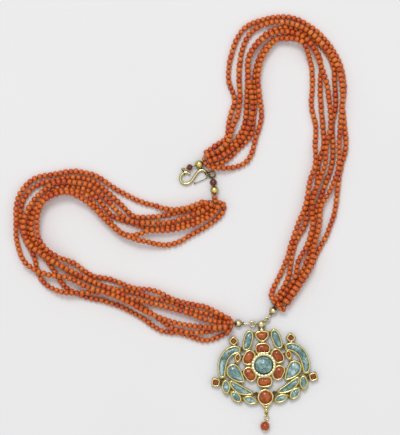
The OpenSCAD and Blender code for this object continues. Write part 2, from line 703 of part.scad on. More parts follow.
// Chains from the pendant's ball to the gather beads
BALL = PENDANT + [-BALL_Y * sin(pendant_turn), BALL_Y * cos(pendant_turn), 0];
RIGHT_EYELET = ahead(BALL, BALL_RIGHT_WAY, EYELET_OUT, CHAIN_Z);
LEFT_EYELET = ahead(BALL, BALL_LEFT_WAY, EYELET_OUT, CHAIN_Z);
RIGHT_CHAIN = GATHER_RIGHT - flat(RIGHT_EYELET);
LEFT_CHAIN = GATHER_LEFT - flat(LEFT_EYELET);
RIGHT_CHAIN_WAY = atan2(RIGHT_CHAIN.y, RIGHT_CHAIN.x);
LEFT_CHAIN_WAY = atan2(LEFT_CHAIN.y, LEFT_CHAIN.x);
LINK_END_REACH = gather_bead_d / 2 + LINK_GAP;
LOOP_REACH = LINK_END_REACH - LOOP_IN;

module inner_link(eyelet, way, r) {
  color(GOLD) placed() translate(ahead(eyelet, way, r + LINK_SLACK, CHAIN_Z)) wire_ring(r, CHAIN_WIRE);
}

// Half a turn of the oval link's wire, bulging towards +X
module link_end() {
  rotate(-90)
    rotate_extrude(angle = 180, $fn = RING_FN)
      translate([LINK_HALF_H, 0]) circle(d = CHAIN_WIRE, $fn = WIRE_FN);
}

// Oval ring on edge, from the round link of radius r to the gather bead a reach away
module outer_link(eyelet, way, r, reach) {
  from = 2 * r - LINK_IN + LINK_HALF_H;
  to = reach - LINK_END_REACH - LINK_HALF_H;
  color(GOLD) placed()
    translate(ahead(eyelet, way, 0, CHAIN_Z))
      rotate([90, 0, way]) {
        translate([from, 0, 0]) rotate(180) link_end();
        translate([to, 0, 0]) link_end();
        for (side = [-1, 1])
          translate([from - LINK_OVERLAP, side * LINK_HALF_H, 0]) rotate([0, 90, 0])
            cylinder(h = to - from + 2 * LINK_OVERLAP, d = LINK_SIDE_D, $fn = WIRE_FN);
      }
}

// Pendant
module on_pendant() {
  placed() translate(PENDANT) rotate(pendant_turn) children();
}

module both_sides() {
  children();
  mirror([1, 0, 0]) children();
}

// Triangles of a cap that fan out from a middle point
function fan_cap(n, first, middle) = [for (j = [0:n - 1]) [middle, first + j, first + (j + 1) % n]];

// Triangles of a cap between the two long sides of a band
function band_cap(n, first) = [
  for (j = [0:n / 2 - 2])
    let (a = first + j, b = first + n - 1 - j) each [[a, a + 1, b], [a + 1, b - 1, b]]
];

function turned_over(faces) = [for (f = faces) backwards(f)];

// Walls between rings of n points, one above the other
function loft_walls(n, last) = [
  for (i = [0:last - 1]) for (j = [0:n - 1])
    let (a = i * n + j, b = i * n + (j + 1) % n)
    each [[a, a + n, b], [b, a + n, b + n]]
];

function raised(o, z) = [for (p = o) [p.x, p.y, z]];

// Solid through outlines that bulge all round, one above the other
module loft(outlines, heights) {
  n = len(outlines[0]);
  last = len(outlines) - 1;
  rings = [for (i = [0:last]) each raised(outlines[i], heights[i])];
  middles = [for (i = [0, last]) each raised([middle_of(outlines[i])], heights[i])];
  foot = fan_cap(n, 0, len(rings));
  top = turned_over(fan_cap(n, last * n, len(rings) + 1));
  polyhedron(concat(rings, middles), concat(loft_walls(n, last), foot, top));
}

// The same through outlines of a curved band
module band_loft(outlines, heights) {
  n = len(outlines[0]);
  last = len(outlines) - 1;
  rings = [for (i = [0:last]) each raised(outlines[i], heights[i])];
  caps = concat(band_cap(n, 0), turned_over(band_cap(n, last * n)));
  polyhedron(rings, concat(loft_walls(n, last), caps));
}

DOME_HEIGHTS = [STONE_FOOT, GIRDLE, GIRDLE + DOME_SHOULDER * (dome_top - GIRDLE), dome_top];
TABLE_HEIGHTS = [STONE_FOOT, GIRDLE + TABLE_GIRDLE, dome_top - TABLE_DROP];

function shrunk(o, f) = let (m = middle_of(o)) [for (p = o) m + (p - m) * f];

module cabochon(plan) {
  o = anticlockwise(plan);
  loft([for (f = DOME_SCALES) shrunk(o, f)], DOME_HEIGHTS);
}

module band_stone(spine, half) {
  band_loft([for (f = DOME_SCALES) anticlockwise(band(spine, half, f))], DOME_HEIGHTS);
}

// Square stone with a table and eight sloping facets
module table_cut(plan) {
  o = anticlockwise(plan);
  loft([for (f = TABLE_SCALES) shrunk(o, f)], TABLE_HEIGHTS);
}

module centre_stone() {
  rise = centre_top - GIRDLE;
  curve_r = (CENTRE_R * CENTRE_R + rise * rise) / (2 * rise);
  color(AQUA) on_pendant()
    intersection() {
      translate([0, 0, STONE_FOOT]) cylinder(h = centre_top, r = CENTRE_R, $fn = BALL_FN);
      translate([0, 0, centre_top - curve_r]) sphere(r = curve_r, $fn = STONE_FN);
    }
}

module petal_stone(i) {
  color(CARNELIAN) on_pendant() cabochon(petal_plan(i - 1));
}

module crown_stone() {
  color(CARNELIAN) on_pendant() cabochon(CROWN_PLAN);
}

module drop_stone() {
  color(CARNELIAN) on_pendant() cabochon(DROP_PLAN);
}

module side_stone(i, colour, side) {
  color(colour) on_pendant() cabochon(side > 0 ? SIDE_PLANS[i] : mirrored(SIDE_PLANS[i]));
}

module neck_stone(side) {
  color(AQUA) on_pendant()
    band_stone(side > 0 ? NECK_SPINE : mirrored(NECK_SPINE), NECK_HALF);
}

module wing_stone(side) {
  color(AQUA) on_pendant()
    band_stone(side > 0 ? WING_SPINE : mirrored(WING_SPINE), WING_HALF);
}

module leaf_stones(side) {
  first = len(SIDE_PLANS) - len(LEAVES);
  for (i = [first:len(SIDE_PLANS) - 1]) side_stone(i, AQUA, side);
}

module corner_stones() {
  color(GARNET) on_pendant()
    for (row = CORNERS) {
      table_cut(corner_plan(row));
      table_cut(mirrored(corner_plan(row)));
    }
}

// Outlines of every stone but the round one and the square ones
module stone_plans() {
  for (i = [0:len(PETAL_WAYS) - 1]) polygon(petal_plan(i));
  polygon(CROWN_PLAN);
  polygon(DROP_PLAN);
  both_sides() {
    for (o = SIDE_PLANS) polygon(o);
    polygon(band(NECK_SPINE, NECK_HALF, 1));
    polygon(band(WING_SPINE, WING_HALF, 1));
  }
}

module corner_plans(grow) {
  both_sides()
    for (row = CORNERS) polygon(corner_plan(row, grow));
}

// Gold round the stones, before their places are cut out
module wall_plan() {
  offset(delta = rim_w, chamfer = true) stone_plans();
  corner_plans(CORNER_RIM);
}

// The same with the solder that joins the walls and with the narrowest gaps filled
module back_plan() {
  offset(delta = -WEB, chamfer = true) offset(delta = WEB, chamfer = true) {
    wall_plan();
    both_sides()
      for (p = SOLDER) translate(p) circle(d = SOLDER_D, $fn = SOLDER_SIDES);
  }
}

module stone_places() {
  offset(delta = stone_gap) {
    stone_plans();
    corner_plans(0);
  }
}

module pendant_setting() {
  color(GOLD) on_pendant() {
    difference() {
      union() {
        linear_extrude(back_t) back_plan();
        translate([0, 0, back_t])
          linear_extrude(web_top - back_t)
            difference() {
              back_plan();
              stone_places();
            }
        translate([0, 0, back_t])
          linear_extrude(wall_top - back_t)
            difference() {
              wall_plan();
              stone_places();
            }
        cylinder(h = BEZEL_TOP, r = BEZEL_R, $fn = BALL_FN);
      }
      translate([0, 0, back_t]) cylinder(h = BEZEL_TOP, r = CENTRE_R + stone_gap, $fn = BALL_FN);
    }
    rod([0, BALL_Y, STEM_Z], [0, STEM_Y, STEM_Z], STEM_D);
    translate([0, BALL_Y, ball_d / 2]) sphere(d = ball_d, $fn = BALL_FN);
    for (way = [BALL_LEFT_WAY - pendant_turn, BALL_RIGHT_WAY - pendant_turn])
      upright_ring(ahead([0, BALL_Y], way, EYELET_OUT, CHAIN_Z), way, EYELET_R, EYELET_WIRE);
    rod([0, DROP_BALL_Y, DROP_Z], [0, DROP_STEM_Y, DROP_Z], DROP_STEM_D);
    translate([0, DROP_BALL_Y, DROP_Z]) sphere(d = DROP_BALL_D, $fn = WIRE_FN);
    upright_ring([0, DROP_EYELET_Y, DROP_Z], 90, DROP_EYELET_R, DROP_WIRE);
  }
}

// Coral drop below the pendant
DROP_FLAT_REACH = sqrt(pow(DROP_REACH, 2) - pow(drop_bead_d / 2 - DROP_LOOP.z, 2));
DROP_MIDDLE = [
  DROP_LOOP.x + cos(DROP_LOOP_WAY) * DROP_FLAT_REACH,
  DROP_LOOP.y + sin(DROP_LOOP_WAY) * DROP_FLAT_REACH,
  drop_bead_d / 2
];

module drop_ring() {
  color(GOLD) on_pendant() translate([0, DROP_RING_Y, DROP_Z]) wire_ring(DROP_RING_R, DROP_WIRE);
}

module drop_pin() {
  pin_l = DROP_REACH - DROP_LOOP_R + drop_bead_d / 2 + DROP_PIN_OUT;
  color(GOLD) on_pendant() {
    upright_ring(DROP_LOOP, DROP_LOOP_WAY, DROP_LOOP_R, DROP_LOOP_WIRE);
    on_line(DROP_LOOP, DROP_MIDDLE, DROP_LOOP_R) {
      sphere(d = PIN_TWIST_D, $fn = WIRE_FN);
      cylinder(h = pin_l, d = DROP_PIN_D, $fn = WIRE_FN);
      translate([0, 0, pin_l - DROP_HEAD_IN]) cylinder(h = DROP_HEAD_H, d = DROP_HEAD_D, $fn = WIRE_FN);
    }
  }
}

module drop_bead() {
  color(CORAL) on_pendant()
    on_line(DROP_LOOP, DROP_MIDDLE, DROP_REACH) drilled_ball(drop_bead_d, DROP_BORE);
}

for (k = [1:STRINGS])
  strand_right(k);
for (k = [1:STRINGS])
  strand_left(k);
threads_right_back();
threads_right_front();
threads_left_back();
threads_left_front();
gold_bead(CLASP_RIGHT, CLASP_RIGHT_WAY, clasp_bead_d);  // clasp_bead_right
gold_bead(CLASP_LEFT, CLASP_LEFT_WAY, clasp_bead_d);  // clasp_bead_left
gold_bead(GATHER_RIGHT, GATHER_RIGHT_WAY, gather_bead_d);  // gather_bead_right
gold_bead(GATHER_LEFT, GATHER_LEFT_WAY, gather_bead_d);  // gather_bead_left
s_hook();
eye_ring();
eye_thread();
eye_garnet();
eye_gold_beads();
clasp_ring();
clasp_pin();
garnet_bead();
amber_bead();
inner_link(RIGHT_EYELET, RIGHT_CHAIN_WAY, RIGHT_RING_R);  // link_right_inner
inner_link(LEFT_EYELET, LEFT_CHAIN_WAY, LEFT_RING_R);  // link_left_inner
outer_link(RIGHT_EYELET, RIGHT_CHAIN_WAY, RIGHT_RING_R, norm(RIGHT_CHAIN));  // link_right_outer
outer_link(LEFT_EYELET, LEFT_CHAIN_WAY, LEFT_RING_R, norm(LEFT_CHAIN));  // link_left_outer
pendant_setting();
centre_stone();
for (i = [1:len(PETAL_WAYS)])
  petal_stone(i);
crown_stone();
drop_stone();
side_stone(0, AQUA, 1);  // top_leaf_stone_right
side_stone(0, AQUA, -1);  // top_leaf_stone_left
neck_stone(1);  // neck_stone_right
neck_stone(-1);  // neck_stone_left
side_stone(1, AQUA, 1);  // body_stone_right
side_stone(1, AQUA, -1);  // body_stone_left
wing_stone(1);  // wing_stone_right
wing_stone(-1);  // wing_stone_left
side_stone(2, CARNELIAN, 1);  // beak_stone_right
side_stone(2, CARNELIAN, -1);  // beak_stone_left
leaf_stones(1);  // leaf_stones_right
leaf_stones(-1);  // leaf_stones_left
corner_stones();
drop_ring();
drop_pin();
drop_bead();
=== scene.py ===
"""Coral necklace with a jewelled pendant: beads, stones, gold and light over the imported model."""
import json
import math
import random

import bpy
import numpy as np
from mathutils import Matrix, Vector


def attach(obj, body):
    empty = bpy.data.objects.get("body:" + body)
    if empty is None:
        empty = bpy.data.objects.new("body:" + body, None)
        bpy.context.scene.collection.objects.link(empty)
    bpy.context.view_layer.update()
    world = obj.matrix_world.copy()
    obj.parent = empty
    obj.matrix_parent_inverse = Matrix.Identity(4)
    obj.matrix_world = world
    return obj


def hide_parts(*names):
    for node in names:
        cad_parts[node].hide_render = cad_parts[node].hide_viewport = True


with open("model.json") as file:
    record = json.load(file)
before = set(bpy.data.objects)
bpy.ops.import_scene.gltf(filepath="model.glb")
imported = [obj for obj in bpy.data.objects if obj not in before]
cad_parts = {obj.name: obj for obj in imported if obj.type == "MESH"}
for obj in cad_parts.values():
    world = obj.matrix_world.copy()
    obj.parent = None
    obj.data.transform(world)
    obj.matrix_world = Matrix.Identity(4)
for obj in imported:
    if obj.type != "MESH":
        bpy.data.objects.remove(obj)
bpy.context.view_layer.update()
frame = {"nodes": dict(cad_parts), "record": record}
MM = 0.001

# Sizes, in millimetres, as in the part's source
STRING_D = 3.2
PILE_STEP = 3.35
LIE_SLOPE = 0.45
STATION_RUN = 11.5
RINGS_PER_STATION = 2
STEPS_PER_RING = 4
TUBE_R = STRING_D / 2
REST_Z = TUBE_R * math.cos(math.pi / 8)
SHIFT = np.array([0.53, -0.65, 0.0])
POINTS_PER_STATION = 40
SOFTEN_REACH = 5

# The photograph: millimetres per pixel, and the pixel over the source's origin before the shift.
# The camera: height and sensor in millimetres, and how far it sees in metres.
PIXEL = 0.58
PIXEL_X0, PIXEL_Y0 = 182, 224
PHOTO_W, PHOTO_H = 400, 435
CAMERA_HEIGHT = 1200
SENSOR_W = 36
CAMERA_REACH = 20

# Light: the key's place and size in metres and its watts, and the room's strength and its greys
# from straight down to straight up. The floor is a square in metres, just under the table's height.
KEY_PLACE = (-0.45, 2, 3.6)
KEY_SIZE = 1.35
KEY_WATTS = 57
ROOM_LIGHT = 0.94
ROOM_GREYS = [
    (0.0, (0.22, 0.21, 0.19, 1)), (0.3, (0.36, 0.36, 0.36, 1)), (0.55, (0.64, 0.64, 0.65, 1)),
    (0.8, (0.86, 0.86, 0.88, 1)), (1.0, (0.94, 0.94, 0.94, 1)),
]
FLOOR_SIZE = 6
FLOOR_Z = -0.0002

# Stations of a bundle: x, y, then how far strings 1 to 6 lie across it, to the right of travel
RIGHT_BUNDLE = [
    [14.5, 37, -4, -2.5, -0.5, 1, 3, 5],
    [22, 40.5, -5.5, -2, -1, 1.5, 5, 9],
    [30, 45, -6.5, -4.5, -1.5, 0.5, 3, 11.5],
    [36, 53, -10, -7.5, -1.5, 1, 4, 7.5],
    [38.5, 62, -10.5, -6.5, -1.5, 1.5, 3, 7.5],
    [38.5, 73, -8, -5, -1, 2, 4, 6.5],
    [37, 84.5, -10, -4, 1, 1.5, 5, 7],
    [38, 96.5, -9.5, -4, 0.5, 1, 6.5, 8],
    [43.5, 106.5, -10, -5.5, 1, 2, 6.5, 8],
    [52, 113, -6.5, -3.5, 1, 3, 6.5, 7],
    [62.5, 113.5, -6, -2.5, -0.5, 2.5, 5, 6.5],
    [72.5, 109.5, -5, -2, 0, 2.5, 4, 5.5],
    [80, 101.5, -5.5, -2.5, -1.5, 3.5, 2.5, 8],
    [84, 91.5, -7.5, -5.5, -3.5, 3.5, 3.5, 9],
    [84.5, 80, -9.5, -8, -4, 0.5, 4.5, 9],
    [84.5, 68.5, -8.5, -8, -4.5, -1, 4, 9.5],
    [85.5, 57, -8.5, -6, -1.5, -0.5, 4, 8],
    [86, 45, -9, -5, -1.5, 2.5, 4, 9],
    [84, 33.5, -8, -6.5, -2.5, 1.5, 5, 7],
    [81, 22, -9.5, -5.5, -1.5, 2.5, 3, 7.5],
    [77.5, 10.5, -11.5, -3, -1, 2.5, 4.5, 6],
    [75, -0.5, -10.5, -4.5, -1.5, -0.5, 3.5, 7.5],
    [71, -11.5, -9, -5.5, -4, -1.5, 5, 7.5],
    [67.5, -21.5, -8, -7, -4.5, 0, 4.5, 7],
    [62.5, -31.5, -7, -5.5, -4.5, -2.5, 1, 6],
    [57.5, -40.5, -6, -4.5, -4.5, -1, 1, 5.5],
    [55, -46, -5.2, -3.3, -1.8, 0.2, 1.8, 4.3],
]
LEFT_BUNDLE = [
    [18.8, 12, 4.4, 2.9, 1.1, -0.7, -2.5, -5.9],
    [17.5, 8.5, 7, 4.5, 2.5, 0, -2.5, -6],
    [12.5, 4, 8.5, 6, 3.5, 0.5, -1.5, -5.5],
    [4.5, 0.5, 9, 7.5, 4, 0.5, -1.5, -6.5],
    [-7, -1.5, 10, 7, 2.5, -0.5, -2, -10.5],
    [-18.5, -1, 12, 5, 1.5, -1.5, -3, -9.5],
    [-29, 1, 13, 3.5, 0.5, -0.5, -8, -8.5],
    [-37.5, 7, 11.5, 4.5, 0.5, -3.5, -7, -8],
    [-45, 14, 9, 4.5, 1, -2.5, -6, -7.5],
    [-53, 21, 7.5, 4, 1, -2, -5, -8],
    [-62, 24.5, 6, 2.5, -0.5, -3, -5.5, -7],
    [-72.5, 23, 6, 2.5, 1, -2, -4, -5.5],
    [-82, 19, 8, 4, -1, -4, -5.5, -6],
    [-88, 11.5, 7.5, 4.5, -0.5, -3.5, -5, -6.5],
    [-90, 1, 6, 3.5, 1.5, -1, -3, -6.5],
    [-89.5, -9.5, 6, 1, 0, -2, -4, -7],
    [-85.5, -19, 6, 0, -4.5, -4, -6.5, -8.5],
    [-77, -26.5, 3, 7.5, -5.5, -2.5, -6.5, -9],
    [-66, -31, 0, 9, -4.5, 5.5, -3, -9],
    [-54, -35.5, 1, 4.5, -3, 7, -2.5, -6],
    [-42.5, -38.5, 1.5, 1, -1.5, 6.5, -1.5, -6.5],
    [-30.5, -42, 3, 2, 0.5, 7.5, -3, -5.5],
    [-19, -46.5, 4.5, 3.5, -1, 9, -4, -8.5],
    [-8, -51, 4.5, 6.5, -2.5, 11.5, -6, -8],
    [3, -55, 3.5, 7.5, -3.5, 9, -5.5, -9],
    [14, -57.5, 2, 5, -2, 10, -5.5, -9],
    [23, -58, 1.5, 2.5, -1, 6.5, -3.5, -5.5],
    [27, -57.5, 1, 2.5, -0.5, 4, -2, -3.5],
]
# Strings of each bundle from the lowest to the highest where they cross
RIGHT_PILE = [3, 1, 5, 4, 2, 6]
LEFT_PILE = [4, 5, 2, 6, 3, 1]

# Beads: least and greatest diameter, length as a share of it, the hole, and the gap to the next
BEAD_MIN, BEAD_MAX = 3.18, 3.5
BEAD_LENGTH = 0.9
BEAD_FULLNESS = 0.66
BEAD_SIDES = 16
BEAD_ROWS = 10
BORE = 0.7
BEAD_GAP = 0.02
# Inside the hole, the profile's first and last point: shares of the half length and of the hole
MOUTH_IN = 0.72
MOUTH_NARROW = 0.85
# Painted shade on each ring of a bead's profile, where beads meet, from its hole to its belly and back
BEAD_PAINTED_SHADES = [1, 1, 0.85, 0.5, 0.15, 0, 0, 0, 0.15, 0.5, 0.85, 1, 1]
# How far a bead may lie aside and askew, how far the last one may pass its string's end, and how
# far before and after a bead its direction is read
BEAD_ASIDE = 0.1
BEAD_ASKEW = 0.07
BEAD_PAST_END = 0.4
BEAD_AIM = 0.8
# Tones: the share of beads that are darker, their darkest to lightest, and the others' spread
DARK_SHARE = 0.1
DARK_TONE = 0.15
MEAN_TONE = 0.52
TONE_SPREAD = 0.2
STRING_TONE_SHIFT = 0.08
# Thread inside the beads: radius, distance from the string's ends, and step
THREAD_R = 0.5
THREAD_IN = 0.3
THREAD_STEP = 2.2

# Small beads heaped over the threads: sizes, tries, and how far the heap reaches beside the
# strings' ends, back over them and on towards the gold bead
END_BEAD_MIN, END_BEAD_MAX = 2.4, 2.8
HEAP_TRIES = 500
HEAP_MARGIN = 0.5
HEAP_BACK = 1.2
HEAP_ON = 0.3
# Height of the heap by the gold bead, and its growth towards the strings: their height less this,
# times a power of the way there
HEAP_LOW = 3.4
HEAP_LESS = 2.6
HEAP_GROWTH = 0.7

# Gold beads at the ends of the bundles, and the way their holes point towards the strings
CLASP_BEAD_R = 2.45
GATHER_BEAD_R = 2.3
AMBER_R = 1.65
CLASP_RIGHT, CLASP_RIGHT_WAY = (9.9, 34.5), 26
CLASP_LEFT, CLASP_LEFT_WAY = (18.8, 19.6), -88
AMBER = (18.9, 15.45)
GATHER_RIGHT, GATHER_RIGHT_WAY = (52.8, -50.1), 62
GATHER_LEFT, GATHER_LEFT_WAY = (32.6, -57.5), 180
KNOT_OUT = 0.4

# The hook's wire in plan, from the tip round both bends to the shank
HOOK_ROUTE = [
    [4.1, 29.3], [2.7, 30], [1.2, 29.6], [-0.3, 28.4], [-1, 26.6], [-0.6, 24.8], [0.6, 23.7],
    [2.2, 23.3], [4.1, 23.8], [5.7, 25.2], [7, 27.1], [8.4, 29.1], [10, 30.8], [11.6, 31.4], [12.9, 31],
]
HOOK_Z = 1.6
HOOK_R = 0.82
HOOK_TIP_R = 0.9
SHANK_START = [13.7, 30.3]
SHANK_WAY = -58
SHANK_L = 1.8
SHANK_R = 0.7
SHANK_IN = 0.4
SHANK_NECK = 1.6
SHANK_NECK_R = 0.42
WRAP_R = 0.27
WRAP_SINK = 0.6
WRAP_END = 0.1
WRAP_TURNS = 4
HOOK_EYE = [15.5, 28.35, 2.2]
HOOK_EYE_WAY = 10
HOOK_EYE_R = 1
HOOK_EYE_WIRE_R = 0.3
TAIL_ROUTE = [[14.5, 29.2], [14.2, 26.6], [10.3, 24.7], [7.4, 23.6]]
TAIL_Z = 1.1
TAIL_R = 0.27
TAIL_TAPER = 0.8
TAIL_END_R = 0.5

# The ring that joins the hook to the garnet bead, and the garnet beads
CLASP_RING_R = 1.9
CLASP_RING_Z = 2.25
CLASP_RING_TILT = 20
RING_WIRE_R = 0.34
RING_TWIST = 0.24
RING_TURNS = 9
PIN_LOOP = [17.66, 26.86, 1.66]
PIN_END = [18.75, 20.6, 2.45]
GARNET_REACH = 2.88
GARNET_D = 4.4
EYE_RING = [1, 30.05, 1.95]
EYE_RING_WAY = 112
EYE_RING_R = 1.6
EYE_GARNET_D = 3.8
EYE_GARNET_REACH = 5.7
EYE_LOOP_ASIDE = np.array([0.1, 0.1, 0])
GARNET_SIDES = 10
# Profile of a cut bead, as shares of its radius: along its hole, then out from it
GARNET_PROFILE = [
    (-0.78, 0.2), (-0.84, 0.42), (-0.42, 0.9), (0, 1), (0.42, 0.9), (0.84, 0.42), (0.78, 0.2),
]

# Pendant: place and turn, and the heights of its walls and stones
PENDANT = np.array([47.3, -81.6, 0])
PENDANT_TURN = 3.3
WALL_TOP = 3.3
STONE_LOW = 2
GIRDLE = 2.9
DOME_TOP = 4.7
TABLE_TOP = 4.1
CENTRE_R = 5.5
CENTRE_TOP = 6.2
CENTRE_ROWS = 16
CENTRE_SIDES = 64
CENTRE_FOOT, CENTRE_TIP = 0.97, 0.01
DROP_TOP = 5
# Shares of a stone's outline at its foot and at its tip, and how full its dome is
STONE_FOOT = 0.96
STONE_TIP = 0.015
DOME_FULLNESS = 0.85
DOME_ROWS = 8
# Rings of the table-cut corner stones: share of the outline, height
CORNER_RINGS = [(0.97, STONE_LOW), (1, GIRDLE + 0.1), (0.62, TABLE_TOP)]
# Scalloped collar of the middle stone: radii, middle and top, how far it reaches down, scallops
BEZEL_IN, BEZEL_OUT = 5.4, 7.2
BEZEL_LOW, BEZEL_HIGH = 4, 4.8
BEZEL_DOWN = 0.9
BEZEL_SIDES = 20
SCALLOPS = 22
SCALLOP_STEPS = 12
SCALLOP_FULLNESS = 0.6
NOTCH = 0.2
# Ball with its collar at the top, and the small pear under the lowest collet. A profile is a list
# of (along, radius), down from the ball's middle or the stem.
BALL_Y = 23.6
BALL_R = 2.5
COLLAR_LOWER = 0.3
COLLAR = [(2, 1.1), (2.3, 1.5), (3, 1.7), (3.9, 1.9), (4.4, 1.6), (4.5, 0.9)]
DROP_STEM_Y, DROP_STEM_Z = -24.8, 1.22
PEAR = [(-0.4, 0.5), (0.3, 0.72), (1, 0.95), (1.9, 1.15), (2.7, 1.12), (3.4, 0.8), (3.8, 0.3)]
# Lowest collet: share of its outline, height
DROP_SEAT_RINGS = [(1.04, 2.3), (1.04, 3.1), (0.96, 3.35), (0.03, 3.35)]
# Where the setting's plan lies along y, inside which its recesses are darkened by patina and painted shade
STAIN_AND_SHADE_FROM, STAIN_AND_SHADE_TO = -107.2, -61.8

# Links from the pendant's eyelets to the gather beads, a round one and then an oval one on edge:
# side, heading of the eyelet from the pendant's ball, gather bead and radius of the round link
CHAIN_Z = 2.3
EYELET_OUT = 3.4
LINKS = [("right", 34, GATHER_RIGHT, 1.15), ("left", 178, GATHER_LEFT, 1.6)]
ROUND_LINK_WIRE_R = 0.45
OVAL_LINK_WIRE_R = 0.34
OVAL_LINK_HALF_H = 0.9
LINK_SLACK = 0.1
LINK_IN = 0.7
LINK_GAP = 0.6

# Stone outlines in the pendant's plan, from its centre stone. Those with both ends on x = 0 are
# the right half of a stone, and the others a whole stone on the right side.
PETAL = [[0, 7.4], [2.3, 7.2], [3.7, 9], [3.6, 11], [1.9, 12.1], [0, 12.1]]
UPRIGHT_PETAL = [[0, 7.5], [2.8, 7.3], [3.7, 9], [3.4, 11.2], [1.8, 12], [0, 12.2]]
CROWN = [[0, 19.1], [2, 19], [3.3, 18.1], [2.9, 16.5], [1.6, 15], [0, 14.1]]
DROP = [[0, -14.6], [2.5, -15.4], [3.9, -17.4], [3.9, -19.4], [2.5, -21.5], [0, -22.6]]
DROP_SEAT = [[0, -14.4], [2.2, -16], [3.8, -18.3], [3.3, -20.7], [1.7, -22.7], [0, -24.2]]
TOP_LEAF = [
    [6.3, 19.2], [5.7, 17.4], [6.4, 14], [7.7, 11], [9.3, 9.8],
    [10.7, 10.4], [10.6, 13], [10, 16], [8.7, 18.6], [7.3, 19.6],
]
BODY = [
    [17.6, 1], [20.2, 0], [21.1, -2.4], [20.2, -5], [17.6, -7.2],
    [14.6, -8.4], [12.4, -8.6], [12.9, -6], [13.8, -3.2], [15.4, -0.2],
]
BEAK = [[14.3, 7.5], [16, 5.6], [15.2, 2.6], [13.4, 5.2]]
PETAL_WAYS = [90, 30, -30, -90, -150, 150]
# The two band stones: the arc and half widths of one spine, and the x, y and half width along the
# other, then the round ends' run, the narrowest and lowest that an end gets, and the arch's shape
NECK_MIDDLE = np.array([15.5, -2.5])
NECK_RADII = np.array([9, 12.3])
NECK_FROM, NECK_TO = 102, -14
NECK_HALF = [1.1, 1.6, 1.8, 1.85, 1.85, 1.85, 1.8, 1.5, 0.9]
WING = [[19.6, -8.6, 0.35], [17.6, -10.9, 1.4], [15, -13, 1.75], [12.2, -14.5, 1.5], [7.8, -15.9, 0.35]]
BAND_END_RUN = 1.1
BAND_NARROWEST, BAND_LOWEST = 0.12, 0.05
BAND_ARCS = 12
BAND_FULLNESS, BAND_RISE = 0.9, 0.7
# Leaf stones: x and y of the middle, length, width, heading of the long way
LEAF_FULLNESS = 0.8
LEAVES = [[22.5, -11.3, 7.8, 3.5, 90], [17.1, -17.4, 7.4, 3.6, 51], [8.9, -19.8, 7.6, 3.4, 200]]
# Square corner stones: x and y of the middle, side, turn
CORNERS = [[16.6, 14.9, 2.9, 45], [28.3, -8.4, 3.2, 15]]
CORNER_CUT = 0.1

# Rims burnished over the stones' edges: how far out they lie, how often their way is evened out,
# and their section
RIM_OUT = 0.3
RIM_EVENED = 3
RIM_R = 0.38
RIM_SQUARE = 0.7
RIM_Z = WALL_TOP + 0.08
RIM_SIDES = 12

random.seed(11)


# Routes of the strings
def cubic(a, b, c, d, u):
    """Point a share u of the way from b to c, on a smooth curve through all four, and its slope."""
    bend, turn = 2 * a - 5 * b + 4 * c - d, 3 * b - a - 3 * c + d
    point = 0.5 * (2 * b + (c - a) * u + bend * u ** 2 + turn * u ** 3)
    return point, 0.5 * (c - a + 2 * bend * u + 3 * turn * u ** 2)


def four_rows(rows, t):
    i = min(int(t), len(rows) - 2)
    near = [rows[max(0, min(j, len(rows) - 1))] for j in (i - 1, i, i + 1, i + 2)]
    return near, t - i


def row_at(rows, t):
    near, u = four_rows(rows, t)
    return cubic(*near, u)[0]


def string_point(rows, t, k):
    near, u = four_rows(rows, t)
    row, slope = cubic(*near, u)
    way = slope[:2] / np.linalg.norm(slope[:2])
    return row[:2] + np.array([way[1], -way[0]]) * row[k + 1]


def lay(rows, pile):
    """Ring heights of each string, laid one after another over the table and those below."""
    steps = RINGS_PER_STATION * STEPS_PER_RING
    fine = [row_at(rows, f / steps) for f in range(steps * (len(rows) - 1) + 1)]
    rings = RINGS_PER_STATION * (len(rows) - 1) + 1
    fall = LIE_SLOPE * STATION_RUN / RINGS_PER_STATION
    laid = {}
    for k in pile:
        least = []
        for f, row in enumerate(fine):
            z = REST_Z
            for below, heights in laid.items():
                aside = abs(row[k + 1] - row[below + 1])
                if aside < PILE_STEP:
                    under = np.interp(f / STEPS_PER_RING, range(rings), heights)
                    z = max(z, under + math.sqrt(PILE_STEP ** 2 - aside ** 2))
            least.append(z)
        laid[k] = [
            max(z - fall * max(0, abs(f / STEPS_PER_RING - i) - 1) for f, z in enumerate(least))
            for i in range(rings)
        ]
    return laid


def string_route(rows, laid, k):
    """Closely spaced points along string k."""
    heights = laid[k]
    out = []
    for i in range(POINTS_PER_STATION * (len(rows) - 1) + 1):
        t = i / POINTS_PER_STATION
        x, y = string_point(rows, t, k)
        out.append([x, y, np.interp(t * RINGS_PER_STATION, range(len(heights)), heights)])
    out = np.array(out)
    width = 2 * SOFTEN_REACH + 1
    padded = np.pad(out[:, 2], SOFTEN_REACH, mode="edge")
    out[:, 2] = np.convolve(padded, np.ones(width) / width, mode="valid")
    return out + SHIFT


